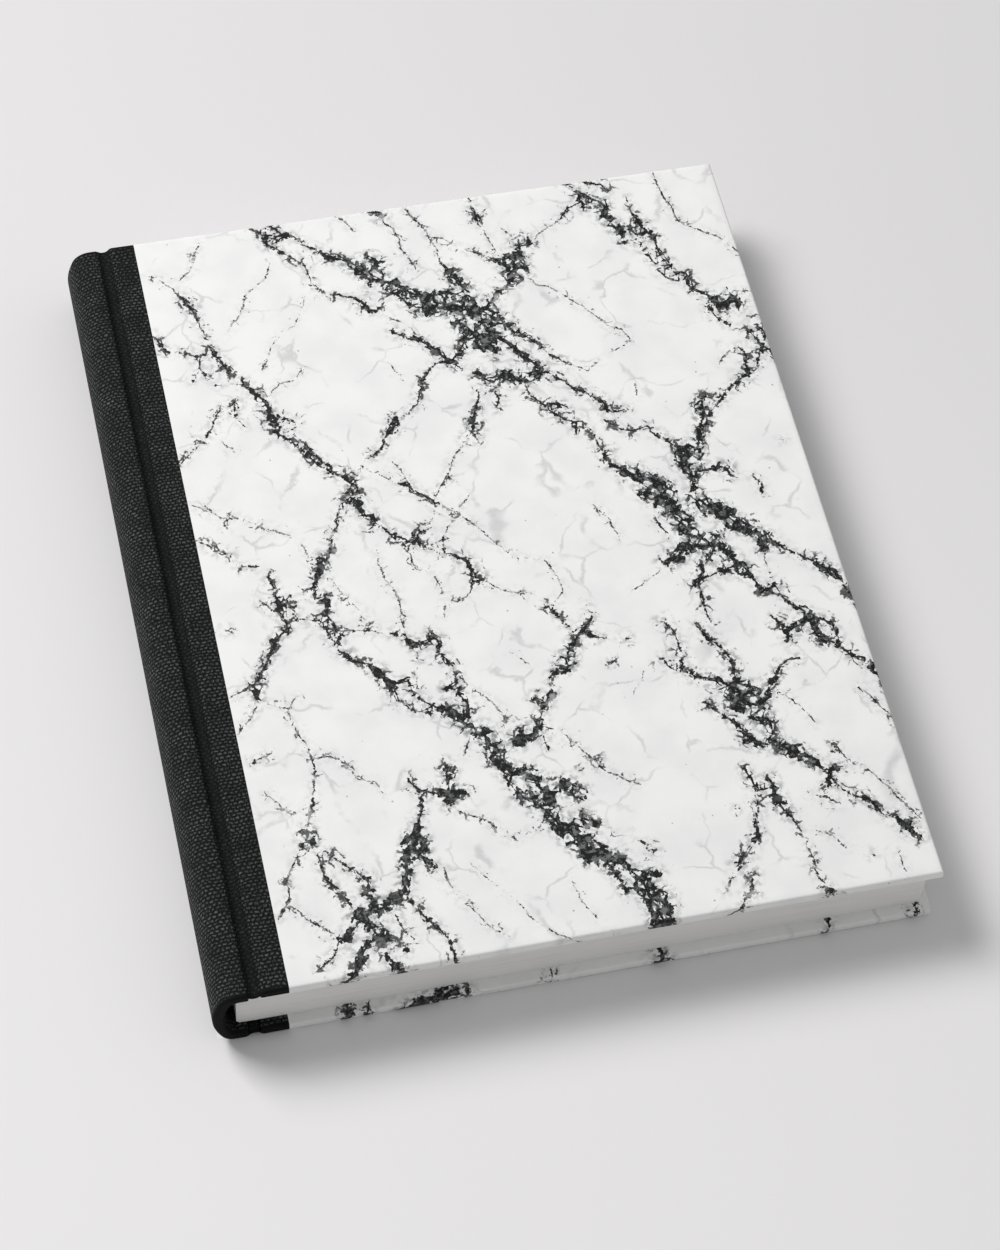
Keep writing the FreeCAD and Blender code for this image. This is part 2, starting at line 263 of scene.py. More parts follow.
    # twigs that leave the veins, and veins that fade
    beside = add("MAXIMUM", (add("SUBTRACT", (away, half)), 0.0))
    twig = total(0.22, add("MULTIPLY", (cells["twig"], -cellSizes["twig"][0])),
                 add("MULTIPLY", (beside, -0.16)), chance("dust", 2, 0.5),
                 add("SMOOTHSTEP", (cloud["thicket"], 0.4, 0.6, -0.5, 0.3)), weaker)
    twig = add("MULTIPLY", (add("SMOOTHSTEP", (twig, -0.06, 0.16)), add("SMOOTHSTEP", (beside, 4.2, 1.0))))
    inked = add("MAXIMUM", (inked, add("MULTIPLY", (twig, 0.9))))
    faint = add("MULTIPLY", (add("SMOOTHSTEP", (tone, 0.9, 0.2)),
                             add("SMOOTHSTEP", (cloud["fading"], 0.58, 0.4))))
    inked = add("MULTIPLY", (inked, add("SMOOTHSTEP", (faint, 0.0, 1.0, 1.0, 0.22))))

    # grey grains inside the ink, then mist, hairlines and dots on the bare paper
    wash = total(cloud["wash"], chance("grain", 2, 0.16))
    grey = add("MAXIMUM", (
        add("SMOOTHSTEP", (total(chance("dust", 0, 0.7), cloud["fleck"]), 0.6, 1.0)),
        add("MULTIPLY", (add("SMOOTHSTEP", (wash, 0.53, 0.66)), add("SMOOTHSTEP", (half, 0.8, 2.0))))))
    black = add("Mix", {0: grey, 6: ink["black"], 7: ink["fleck"]}, 2, data_type="RGBA")
    mist = add("MULTIPLY", (add("SMOOTHSTEP", (beside, 3.4, 0.0)),
                            add("SMOOTHSTEP", (total(cloud["mist"], chance("dust", 1, 0.1)), 0.42, 0.66))))
    mist = add("MULTIPLY", (mist, add("MULTIPLY", (tone, add("SMOOTHSTEP", (half, 0.2, 1.6, 0.4, 1.0))))))
    hairs = add("MULTIPLY", (add("SMOOTHSTEP", (cells["hair"], 0.035, 0.0)),
                             add("SMOOTHSTEP", (cloud["hair"], 0.44, 0.62, 0.0, 0.36))))
    dots = add("MULTIPLY", (add("SMOOTHSTEP", (cells["dot"], 0.085, 0.05)),
                            add("SMOOTHSTEP", (chance("dot", 1, 1.0), 0.12, 0.4, 0.0, 0.8))))
    marks = add("MAXIMUM", (add("MAXIMUM", (hairs, dots)), mist))
    tint = add("SMOOTHSTEP", (cloud["tint"], 0.35, 0.7))
    colour = add("Mix", {0: tint, 6: ink["paper"], 7: ink["shade"]}, 2, data_type="RGBA")
    for amount, over in ((marks, ink["halo"]), (inked, black)):
        colour = add("Mix", {0: amount, 6: colour, 7: over}, 2, data_type="RGBA")
    rough = add("SMOOTHSTEP", (cloud["gloss"], 0.2, 0.8, 0.4, 0.5))
    surface = finishSurface(add, colour, rough, cloud["grit"], 0.12, 0.1 * mm, ink["specular"])
    add("OutputMaterial", {"Surface": surface})
    return material


def paperMaterial(name, pale, dark, grain, rough, strength):  # soft matt stock, its fibres just seen
    material, add = newMaterial(name)
    where = add("TexCoord", output="Object")
    along = add("Mapping", {"Vector": where, "Scale": [1 / (size * mm) for size in grain]})
    fibre = add("TexNoise", {"Vector": along, "Scale": 1.0, "Detail": 4.0}, "Fac")
    cloudy = add("TexNoise", {"Vector": where, "Scale": 1 / (18 * mm), "Detail": 3.0}, "Fac")
    tint = add("MULTIPLY", (add("SMOOTHSTEP", (fibre, 0.32, 0.68)),
                            add("SMOOTHSTEP", (cloudy, 0.2, 0.8, 0.6))))
    colour = add("Mix", {0: tint, 6: pale, 7: dark}, 2, data_type="RGBA")
    matt = add("SMOOTHSTEP", (fibre, 0.2, 0.8, rough - 0.05, rough + 0.05))
    add("OutputMaterial", {"Surface": finishSurface(add, colour, matt, fibre, strength, 0.1 * mm)})
    return material


def gauzeMaterial():  # open cotton mull stiffened with size: a pale grid of threads with glue between
    mull = {"pitch": 1.1, "thread": "#ded8c8", "glue": "#b9b19c"}
    material, add = newMaterial("Sized cotton mull")
    axes = add("SeparateXYZ", [add("TexCoord", output="Object")]).node.outputs
    bars = []
    for i in (0, 1):
        wave = add("MULTIPLY", (add("ADD", (axes[i], axes[2])), math.pi / (mull["pitch"] * mm)))
        bars.append(add("POWER", (add("ABSOLUTE", [add("SINE", [wave])]), 4.0)))
    grid = add("MAXIMUM", bars)
    colour = add("Mix", {0: grid, 6: mull["glue"], 7: mull["thread"]}, 2, data_type="RGBA")
    rough = add("SMOOTHSTEP", (grid, 0.0, 1.0, 0.6, 0.9))
    add("OutputMaterial", {"Surface": finishSurface(add, colour, rough, grid, 0.6, 0.2 * mm)})
    return material


materials = {
    "cloth": bookClothMaterial(),
    "marble": marbledPaperMaterial(),
    # grain in millimetres; the pages show their leaf edges, drawn twice as thick as they are
    "pages": paperMaterial("Trimmed uncoated book paper", "#eae9e7", "#dcdbd8", (40, 40, 0.22), 0.85, 0.3),
    "endpaper": paperMaterial("Wove endpaper", "#efeeeb", "#e2e1dd", (0.9, 0.5, 0.9), 0.8, 0.08),
    "board": paperMaterial("Binder's grey board", "#8f8d88", "#6f6d68", (0.6, 1.4, 0.3), 0.9, 0.25),
    "mull": gauzeMaterial(),
}
finishes = {
    "board": ("front_board", "back_board", "spine_board"),
    "mull": ("mull", "front_mull_flap", "back_mull_flap"),
    "endpaper": ("front_flyleaf", "back_flyleaf", "front_pastedown", "back_pastedown"),
}
for finish, nodes in finishes.items():
    for node in nodes:
        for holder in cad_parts[node].material_slots:
            holder.material = materials[finish]
print("materials made:", len(materials))


# Quarter cloth: one strip over the spine and both grooves, turned in at head and tail

clothSizes = {
    "bowRadius": 21.6, "bowMiddle": {"front": 12.65, "back": 12.3},   # the spine's middle, below each cover
    "drop": {"front": 0.55, "back": 0.0},                             # the spine card's top, below the cover
    "shoulder": {"front": 6.0, "back": 4.0}, "tightest": 0.3, "lip": 1.5, "wall": 3.2,
    # pressed: from and to how far from the groove's middle the cloth is flattened and darkened as painted
    # shade
    "grooveX": 11.3, "grooveRadius": 1.8, "grooveLift": 0.1, "underside": 2.5, "pressed": (0.4, 3.2),
    "cardX": {"front": 9.82, "back": 9.6}, "cardRound": 0.4, "boardWall": 13.0, "boardRound": 0.35,
    "turnIn": 15.0, "thickness": 0.3, "endRound": 0.8, "tuck": 0.02, "ripple": 0.05,
    "bendFrom": 9.6, "bendTo": 13.0,
}
clothSteps = {"bow": 14, "shoulder": 16, "flat": 3, "lip": 8, "corner": 3, "groove": 18, "strip": 14,
              "turnIn": 8, "end": 12, "face": 90}
clothEdge = inBook("front_cover_paper")[0].x     # where cloth ends and cover paper starts


def clothSection(side):  # pairs of outer and inner points (x, depth below the cover as a negative)
    s, steps = clothSizes, clothSteps
    r, drop, lip, g = s["shoulder"][side], s["drop"][side], s["lip"], s["grooveRadius"]
    cardX, cardRound, boardRound = s["cardX"][side], s["cardRound"], s["boardRound"]
    bow = (s["bowRadius"], -s["bowMiddle"][side])
    up = -drop - r
    shoulder = (bow[0] - math.sqrt((s["bowRadius"] - r) ** 2 - (up - bow[1]) ** 2), up)
    turn = 180 - math.degrees(math.atan2(shoulder[1] - bow[1], bow[0] - shoulder[0]))
    groove = (s["grooveX"], -s["grooveLift"])
    spineLip = (groove[0] - math.sqrt((g + lip) ** 2 - (drop + lip + groove[1]) ** 2), -drop - lip)
    boardLip = (groove[0] + math.sqrt((g + lip) ** 2 - (lip + groove[1]) ** 2), -lip)
    fromSpine = math.degrees(math.atan2(groove[1] - spineLip[1], groove[0] - spineLip[0]))
    toBoard = math.degrees(math.atan2(boardLip[1] - groove[1], boardLip[0] - groove[0]))
    inner = -drop - s["wall"]

    def underWall(x):  # where an upright wall meets the groove's underside, and at what angle
        y = groove[1] - math.sqrt(s["underside"] ** 2 - (x - groove[0]) ** 2)
        return (x, y), math.degrees(math.atan2(y - groove[1], x - groove[0])) + 360

    leftWall, underStart = underWall(cardX)
    rightWall, underEnd = underWall(s["boardWall"])
    outer = [(0.0, bow[1])]
    within = [(s["wall"], bow[1])]
    outer += arc(bow, s["bowRadius"], 180, turn, steps["bow"])
    within += arc(bow, s["bowRadius"] - s["wall"], 180, turn, steps["bow"])
    outer += arc(shoulder, r, turn, 90, steps["shoulder"])
    within += arc(shoulder, max(r - s["wall"], s["tightest"]), turn, 90, steps["shoulder"])
    outer += straight(outer[-1], (spineLip[0], -drop), steps["flat"])
    within += straight(within[-1], (cardX - cardRound, inner), steps["flat"])
    outer += arc(spineLip, lip, 90, fromSpine, steps["lip"])
    within += arc((cardX - cardRound, inner + cardRound), cardRound, -90, 0, steps["corner"])
    within += straight((cardX, inner + cardRound), leftWall, steps["lip"] - steps["corner"])
    outer += arc(groove, g, 180 + fromSpine, 360 + toBoard, steps["groove"])
    within += arc(groove, s["underside"], underStart, underEnd, steps["groove"])
    outer += arc(boardLip, lip, 180 + toBoard, 90, steps["lip"])
    within += straight(rightWall, (s["boardWall"], -s["wall"] + boardRound), steps["lip"] - steps["corner"])
    within += arc((s["boardWall"] + boardRound, -s["wall"] + boardRound), boardRound, 180, 270,
                  steps["corner"])
    outer += straight(outer[-1], (clothEdge, -s["tuck"]), steps["strip"])
    within += straight(within[-1], (clothEdge, -s["wall"]), steps["strip"])
    return list(zip(outer, within))


def clothRows():  # each row's (y, share from the inner to the outer face), with no y on the two ends
    turnIn, end, face = (clothSteps[name] for name in ("turnIn", "end", "face"))
    rows = [(-halfHeight + clothSizes["turnIn"] * (1 - i / turnIn), 0.0) for i in range(turnIn)]
    rows += [(None, i / end) for i in range(end + 1)]
    rows += [(-halfHeight + 1 + (case["height"] - 2) * i / face, 1.0) for i in range(face + 1)]
    rows += [(None, 1 - i / end) for i in range(end + 1)]
    rows += [(halfHeight - clothSizes["turnIn"] * (i + 1) / turnIn, 0.0) for i in range(turnIn)]
    return rows


def clothHalf(side):
    section, rows = clothSection(side), clothRows()
    columns = len(section)
    developed = [0.0]                                          # the cloth's length along the section
    for (a, _), (b, _) in zip(section, section[1:]):
        developed.append(developed[-1] + math.hypot(b[0] - a[0], b[1] - a[1]))
    bm = bmesh.new()
    bmesh.ops.create_grid(bm, x_segments=columns - 1, y_segments=len(rows) - 1, size=1)
    uvLayer = bm.loops.layers.uv.new("weave")
    pressed = bm.verts.layers.float.new("pressed")
    pressedFrom, pressedTo = clothSizes["pressed"]
    ordered = sorted(bm.verts, key=lambda v: (round(v.co.y, 5), v.co.x))
    flatPlace = {}
    for index, vert in enumerate(ordered):
        row, column = divmod(index, columns)
        (outer, inner), (y, share) = section[column], rows[row]
        end = 1 if row > len(rows) / 2 else -1
        wall = math.hypot(outer[0] - inner[0], outer[1] - inner[1])
        radius = min(clothSizes["endRound"], wall / 2)
        if y is None:                                          # the rounded end over the card or board
            reach, depth = wall * share, 0.0
            near = min(reach, wall - reach)
            if near < radius:
                depth = radius - math.sqrt(radius ** 2 - (radius - near) ** 2)
            y = end * (halfHeight - depth)
        x = inner[0] + (outer[0] - inner[0]) * share
        up = inner[1] + (outer[1] - inner[1]) * share
        flatPlace[vert] = (developed[column], y + end * wall * (1 - share))
        # 1 in the groove, where the cloth is flattened and its colour darkened as painted shade, fading to 0
        # away from it
        t = (abs(outer[0] - clothSizes["grooveX"]) - pressedFrom) / (pressedTo - pressedFrom)
        t = min(max(t, 0), 1)
        vert[pressed] = 1 - t * t * (3 - 2 * t)
        vert.co = place(x, y, case["thickness"] + up if side == "front" else -up)
        if 0 < row < len(rows) - 1 and share == 1 and abs(y) < halfHeight - 3:    # the face ripples a little
            spot = Vector((developed[column] / 9, y / 14, 3 if side == "front" else 8))
            vert.co.z += clothSizes["ripple"] * noise.noise(spot) * mm
    for face in bm.faces:
        for loop in face.loops:
            loop[uvLayer].uv = flatPlace[loop.vert]
    if side == "back":
        bmesh.ops.reverse_faces(bm, faces=bm.faces[:])
    bm.normal_update()
    bmesh.ops.solidify(bm, geom=bm.faces[:], thickness=clothSizes["thickness"] * mm)
    piece = newPiece(bm, "cloth_" + side + "_half", materials["cloth"])
    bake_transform(piece, "book_block", side + "_cover", start=place(clothSizes["bendFrom"], 0, 0),
             end=place(clothSizes["bendTo"], 0, 0))
    return piece


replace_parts(clothHalf("front"), "front_board_cloth", "spine_cloth")
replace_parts(clothHalf("back"), "back_board_cloth")
print("cloth laid over spine and grooves")


# Cover papers: one marbled sheet round each board, turned in on three sides with mitred corners

paperSizes = {
    "pitch": 1.2, "edgeRound": 0.8, "edgeSteps": 4, "thickness": 0.3, "wall": 3.2, "innerRound": 0.5,
    "turnIn": 16.0, "merge": 0.02,
    "nearEdge": 1.6, "runOn": 9.0,                       # a vein that ends this near an edge runs on past it
    "feather": 5, "bare": 40.0,                          # how far a vein is felt, and what bare paper reads
    "wander": ((4.2, 2.5, 0.9), (11, 7.5, 0.8)),         # size, seed and reach of the veins' waviness
    "roll": {"front": 0, "back": 400},                   # each cover has another stretch of the printed roll
}

# Vein routes as points (x from the spine, y from the tail, width), all in millimetres
veins = {
    1.0: [
        [(62, 254, 1.2), (65, 250, 1.8), (67.5, 248.4, 1.5), (70, 245.3, 1), (74.4, 242, 1),
         (77.5, 239, 2.2), (81.3, 236.8, 2.4), (84.4, 234.6, 3), (86.9, 231.5, 4), (89.4, 229, 5),
         (92.5, 226.5, 4.5), (95.6, 223.7, 3.5), (98.1, 221.5, 3), (101, 218.5, 4), (105, 216.5, 6),
         (110, 215, 8), (115, 213, 9), (119, 211, 8), (121.3, 207.8, 4), (123.8, 204, 3.5),
         (126.3, 200.9, 2.5), (130, 198.4, 1.5), (132.5, 194.6, 1.2), (135, 191.5, 0.9), (137.2, 188.7, 2),
         (139.7, 185.9, 0.8)], [(89.4, 236.5, 1.5), (91.9, 233.4, 3), (90, 230.5, 2.5)], [(87.8, 229.5, 2),
         (87.8, 225.3, 1.4)], [(92, 223, 1.5), (95, 220.9, 1.6), (96.9, 217.1, 1.8), (99.4, 214.6, 2),
         (103, 212.5, 3)], [(110.6, 230, 1.2), (111.9, 227.1, 2.5), (113.5, 223.5, 3.2),
         (116.9, 218.4, 3)], [(110.5, 211, 4), (110.8, 206, 4), (114.4, 201.5, 5), (116.9, 197.8, 6),
         (118.8, 194.6, 3)], [(114, 204, 2), (111.3, 200.3, 3.5), (108.8, 196.2, 2.5), (106.6, 193.8, 2.5),
         (105, 192.5, 1.5), (102.5, 193.7, 1), (99.4, 192.4, 1.3), (96.3, 188.4, 1.2), (94.4, 184.6, 1.4),
         (93.1, 180.3, 1.5), (90.6, 177.8, 1)], [(91.3, 207.8, 1.4), (94.4, 205.3, 1.4), (97.5, 203.4, 2),
         (99.4, 201.5, 2.2), (101.3, 199.6, 1.6), (103.1, 197.1, 1.6), (104.5, 194, 1.2), (108, 190.8, 1)],
        [(85.6, 174.9, 2.5), (83.8, 172.1, 2.8), (82.2, 169.9, 1.2), (80, 167.1, 0.7), (77.5, 164.6, 1.6)],
        [(57, 254, 1), (60, 250.5, 1.8), (60.5, 246, 1.8), (63.1, 244, 2), (65, 241.5, 1.2),
         (66.9, 239, 2.2), (70.3, 235.9, 0.8), (71.3, 230.3, 1), (72.5, 226.5, 0.8), (75, 222.8, 0.5)],
        [(60.5, 250, 1), (63.5, 248, 1.5), (67, 248.5, 1.5)], [(119, 206, 4), (120.5, 201, 3),
         (123, 197.5, 2.5), (125, 195.3, 2), (128.1, 190.9, 2.5), (129.4, 189, 1.5), (131.9, 185.9, 2.2),
         (134.4, 182.8, 1.6), (138.8, 179, 1.2), (141.3, 175.9, 1.8), (143.8, 172.8, 1.2),
         (146.3, 170.9, 2), (148.8, 167.4, 1), (151.9, 166.8, 1.4)], [(111.9, 188.4, 1.8),
         (113.8, 186.5, 2), (116.3, 183.4, 2.5), (120.6, 185.3, 3.5), (124.4, 182.8, 3), (130, 184, 3),
         (132, 184.5, 2)], [(116.9, 179.5, 1.2), (117.5, 176.5, 1.6), (115, 174, 1.2)], [(125.6, 180.3, 1),
         (126.3, 176.5, 1.2), (128.8, 172.8, 1.8), (130.6, 169.6, 2.4), (133.8, 166.5, 1.4),
         (137.2, 164.8, 2), (136.3, 161.4, 1.4)], [(129.5, 173, 1), (133.8, 172.1, 2),
         (135.6, 170.9, 1.4)], [(139.4, 165.1, 0.9), (141.3, 160.8, 0.9), (141.9, 155.8, 1.4),
         (143.1, 153.3, 1.6), (142.5, 150.1, 1.6), (145, 147.6, 2.6), (148.1, 144.5, 4), (150.6, 143.3, 4),
         (154.4, 140.8, 4), (156.9, 137.6, 4.5), (156.5, 132, 6), (158.1, 127, 6), (159.4, 122.6, 5.5)],
        [(143, 154.5, 1), (145, 153.9, 1.6)], [(150.5, 137, 3), (153, 134, 4), (156, 131, 5)],
        [(166.5, 149.5, 4), (165.6, 145.8, 4.5), (166.3, 142, 3.5), (165.6, 137, 2), (164.5, 132.5, 4),
         (168.1, 128.3, 6), (171.3, 125.8, 6), (173.8, 122, 5.5), (176.9, 118.9, 4.5), (180, 115.8, 3),
         (180.6, 111.4, 2.5)], [(177.5, 167, 1.2), (175.5, 163.5, 3.5), (175, 160.8, 3.2), (173.1, 157, 3),
         (171.3, 152.6, 2), (168.8, 148.5, 4)], [(177.5, 161.4, 1.5), (181.9, 165.8, 1.3),
         (185.6, 168.9, 1.1), (189.4, 171.5, 1.1), (192.2, 172.8, 2), (191.9, 175.9, 1.5),
         (193.1, 179, 1.2), (191.6, 182.1, 1.6)], [(166.3, 150.1, 2.5), (163.1, 153.3, 1.6),
         (161.3, 155.8, 1.6), (158.8, 157, 1), (158.1, 159.8, 1.1), (153.8, 159.5, 1.2), (149.4, 160.8, 1),
         (147, 164, 1.3)], [(167, 141.5, 2), (170.6, 141.4, 2.4), (174.4, 142, 2.4), (176.9, 140.8, 2.4),
         (177.5, 137.9, 1.6)], [(151.3, 112, 3), (155, 113.3, 3.5), (158.8, 115.8, 4), (162.5, 117, 4.5),
         (166.3, 115.8, 3), (164.4, 111.4, 2.5)], [(167, 118, 2), (169.4, 113.3, 2), (171.3, 108.9, 2.6),
         (173.8, 105.8, 2.6), (175, 101.4, 1.6), (175.6, 97.6, 1.6), (178.8, 97.6, 2), (180.6, 99, 1.8),
         (181.3, 95.8, 1.8), (181.9, 92, 1.4), (185, 89.5, 2), (187.5, 86.4, 3), (190.6, 84.5, 2),
         (191.9, 83.1, 1.5), (193.4, 78.8, 1.3), (193.6, 75.5, 1.2)], [(160.6, 110, 2),
         (160.6, 105.8, 1.6), (158.1, 103.3, 3), (158.8, 100.1, 1.8), (158.4, 95.1, 0.9),
         (158.8, 90.1, 1)], [(160, 104.5, 1.2), (164.4, 105.8, 1.2), (166.3, 107, 2), (169.5, 106.5, 1.6),
         (172, 103, 1.4)], [(181.9, 117.6, 1.5), (183.1, 113.9, 1.3), (186.3, 111.1, 1.2),
         (188.8, 108.3, 0.8), (192.5, 104.8, 1.2), (195, 102.6, 2.2), (198.1, 99.5, 2.4),
         (199.4, 95.1, 1)], [(31.3, 232.1, 1), (33.1, 227.1, 2.4), (34.1, 224, 1), (34.7, 219.6, 0.6),
         (35.9, 216.5, 1.1), (36.3, 212.8, 1), (36.9, 209, 1.8), (37.5, 207.1, 2), (39.1, 204, 2.6),
         (40.5, 201, 1), (43.8, 198.4, 1.4), (44.4, 195.6, 1.5), (46.3, 193.7, 1.8), (47.8, 190.9, 2.6),
         (48.8, 187.8, 2), (49.4, 184, 2.2), (49.7, 180.6, 2.6), (51.9, 178.5, 1.2), (55, 177.1, 0.9)],
        [(50, 183.4, 1.2), (53.8, 181.2, 1.1), (56.9, 179.6, 1)], [(50.2, 178, 1), (50.6, 175.9, 1.2),
         (53.1, 173.4, 1.2), (55, 170.5, 0.9), (58.1, 167, 2), (60.6, 163.3, 1.1), (62.5, 161.7, 1.8),
         (64.4, 159.8, 1.2), (66.9, 157.6, 1.8), (68.8, 156.6, 3.5), (71, 157.8, 1.2)],
        [(57.5, 171.5, 1.3), (58.8, 168.4, 1.3), (61.3, 165.3, 1), (63.8, 161.4, 1)], [(67.3, 156, 2),
         (66.9, 152, 2), (68.1, 148.3, 2.6), (68.8, 145.1, 2.4), (70.6, 143.9, 2), (71.9, 140.8, 2),
         (70.9, 139.5, 1)], [(70, 155.8, 1.4), (69.7, 151.4, 1.6), (69, 147.5, 1.6)], [(65, 151.4, 2),
         (66.3, 147.5, 1)], [(73.8, 138.9, 1.2), (76.3, 135.8, 2), (79.4, 133.9, 1.6), (81.9, 132.3, 2.4),
         (85.6, 129.5, 1.3), (89.4, 129.2, 1.3), (90, 126.4, 1.3), (92.5, 125.1, 2.4), (95.6, 122.6, 2.2),
         (96.3, 118.9, 1.8), (98.4, 116.1, 2.4)], [(82.5, 132.6, 2), (84, 135.8, 2), (86.3, 136, 1.4)],
        [(82.2, 152.3, 1), (84.4, 151.9, 1.6), (86.3, 149.5, 1.1), (90.6, 145.1, 1.6)],
        [(53.1, 118.3, 2.8), (53.4, 114.5, 1.6), (52.5, 112, 2), (53.8, 109.5, 1), (54.4, 105.8, 1.2),
         (53.6, 102.5, 1.8)], [(55, 131.8, 2.6), (53.8, 128.3, 2.8), (51.9, 125.1, 1.6), (50.6, 122, 2),
         (50.6, 118.9, 1.4), (52.5, 118.3, 1)], [(38.8, 128.3, 1.2), (39.7, 124.5, 1.2), (40, 119.5, 1.8),
         (39.6, 115.8, 2), (41.3, 112.6, 1.2), (40, 109.5, 2), (38.1, 108.3, 1.8), (35.6, 104.5, 2.8),
         (33.1, 100.1, 1.6), (30.6, 97, 2.2), (28.4, 93.3, 3.4), (28.8, 89.5, 2.4)], [(42.6, 119, 1),
         (43.8, 117.3, 1.6), (43.8, 114.5, 1.2), (42.3, 112, 1.6)], [(43, 112.8, 1), (45, 112.3, 1),
         (47.5, 111.4, 1.4), (50, 110.8, 1), (50.6, 108.3, 1.4), (52.5, 104.5, 1.2), (53.4, 102.2, 2),
         (53.1, 100.1, 1.2), (55.6, 98.9, 2.4), (56.9, 96.4, 1.8), (60, 95.1, 1), (62.5, 92, 2.6),
         (63.8, 88.3, 2), (65.2, 85.2, 2.8)], [(65.2, 86.3, 1.8), (68.1, 86.8, 1.6), (70.3, 87, 1.8),
         (71.9, 82.5, 1.5), (75, 78.8, 1.2), (78.1, 76.9, 2.4), (81.3, 73.8, 4), (83.1, 69.4, 3.5),
         (86.9, 66.9, 5), (89.4, 64.5, 5), (90.5, 60.5, 3.5), (91, 56, 3), (92.5, 52.5, 3), (96.3, 52, 4),
         (99.4, 50, 2.5)], [(88.5, 58.5, 1.6), (89.8, 55, 2.4), (91, 50.5, 1.4), (92.2, 47, 2.6),
         (95.6, 42.5, 3.6), (99.4, 38.8, 3), (102.5, 33.8, 4), (105, 29.4, 5), (108.1, 24.5, 6),
         (111.3, 22.5, 5), (115.6, 21.5, 3), (117.5, 17.5, 1.6), (119.4, 13.8, 3), (120.6, 8.8, 5),
         (121.9, 3.8, 6), (122.5, -1, 6)], [(96, 52, 3), (98.5, 48.5, 2.5), (99, 44.5, 2.5), (101, 42, 3)],
        [(83.8, 90, 1.2), (83.4, 85.6, 1.6), (83.1, 80, 1.4), (85, 76.3, 2.4), (83.8, 71.9, 2)],
        [(81.3, 82.5, 2.6)], [(65.6, 83.8, 1), (68.8, 78.8, 1), (71.5, 77, 0.8), (73.8, 76.3, 2.2)],
        [(69.4, 102.9, 1.4), (72.5, 100.8, 1.6), (75, 97.6, 2.2), (77.5, 97.6, 1.6), (79.4, 100, 2.2),
         (82, 98.5, 2), (81.3, 94.5, 1.4), (83.1, 90.8, 1.6), (83.6, 88, 1.2)], [(75.6, 96.4, 1.4),
         (75.9, 92.9, 1.2)], [(98.1, 66.3, 2.4), (96.3, 61.8, 2.6), (101.9, 65, 3), (104.4, 69.4, 2)],
        [(103.8, 62, 1.4), (104.6, 58.5, 0.8)], [(101.3, 43.8, 3), (105, 46.3, 4), (108.8, 43.1, 3)],
        [(64.4, 55, 1), (66.9, 51.3, 1.6), (70.6, 50.6, 2), (74.4, 50, 4), (79.5, 48.8, 1.8)],
        [(75, 58.1, 2.4), (74.8, 54, 3), (74.4, 50, 4), (73.8, 46.3, 2.6)], [(66.9, 51.3, 1.2),
         (66.3, 46.9, 1.4), (63.8, 42.5, 1.8), (61.9, 38.1, 2.8), (60.6, 33.8, 3.5), (58.5, 30, 2.6),
         (56.9, 25, 3), (55, 21.9, 2.6), (51.9, 19.5, 4), (47.5, 18.5, 4)], [(63.5, 37, 2.4),
         (63, 32, 2.4), (65, 29, 1.6)], [(47.2, 28, 1.8), (47.2, 24, 3), (47.5, 21.3, 3)],
        [(42.5, 17.5, 5), (45, 15, 4), (46.9, 9.4, 3.4), (49.4, 8.2, 2)], [(43, 9, 2), (41.9, 6.9, 2.6),
         (40, 2.5, 2.6), (37.5, 0, 2.2)], [(47.5, 4, 1.4), (49.4, 0.6, 2.4)], [(52.5, 5, 1.4)],
        [(52.5, 15, 1.2), (53.8, 11.3, 1.4), (55, 8.8, 1)], [(34, 45, 3), (33.5, 42.5, 4), (35.5, 41, 2)],
        [(38.1, 38.8, 1.2), (41.3, 34.4, 1.2), (44.4, 30.6, 1.2), (46.5, 28, 1.6)], [(35.3, 38.1, 1),
         (35.9, 33.1, 1.2), (37.5, 28.1, 1.5), (39.1, 24.4, 1.6), (41.3, 20.6, 1.2)], [(40, 13.5, 2),
         (38.3, 11, 2.6), (35.5, 10.5, 1), (32.8, 6.5, 1.5), (30, 4.7, 0.8)], [(56.5, 19.5, 1.4),
         (58.8, 17.5, 1.2), (60.6, 13.1, 1.4), (63.8, 8.8, 0.9), (65, 3.8, 1), (65.3, 0, 1)],
        [(146.9, 76.6, 1.2), (150, 73.8, 2), (154.4, 71.9, 2.2), (156.9, 68.8, 3)], [(154.4, 89.4, 1.2),
         (155.6, 86.3, 1.4), (158.1, 83.1, 1.8), (159.4, 79.4, 1.4), (160.6, 76.5, 2.6),
         (160.6, 71.9, 1.4), (160, 68.5, 4), (161.5, 65, 8), (163, 61.5, 7)], [(165, 63, 4),
         (168, 63, 1.5)], [(158.1, 62.5, 2.5), (163.1, 58.8, 3), (166.3, 55, 3), (166.9, 50.5, 2.4)],
        [(154.4, 59.4, 1.8), (158.1, 55, 1.8), (159.8, 51.5, 2.8), (163.1, 47.5, 2.4)], [(165, 50, 2.4),
         (167.5, 47, 3), (171.3, 44.4, 3.4), (174.4, 41.3, 3), (177.5, 36.5, 1.2), (179.4, 33.1, 1.2),
         (182.5, 29.4, 1), (186.3, 26.5, 2.4), (188.1, 23.8, 1.4), (189.4, 20.6, 1.2), (193.1, 18.1, 1.8),
         (196.3, 13.8, 2.8), (198.1, 11.3, 1.6)], [(177.5, 36.5, 1.6), (180.9, 37, 2.6)],
        [(176.9, 34.5, 1.2), (177, 31.9, 1.8)], [(167.5, 64, 2), (170.6, 68.1, 2.6), (174.4, 71.3, 1.6),
         (177.5, 73.8, 1.1), (180, 73.4, 1.8)], [(179.4, 80.6, 2.4), (180, 84.4, 2.6), (184.4, 83.8, 2.6),
         (186.3, 86.3, 2.2), (185, 90, 1.4)], [(176.3, 88.1, 1.2), (178.1, 85.6, 1.6), (180, 84.4, 1.6)],
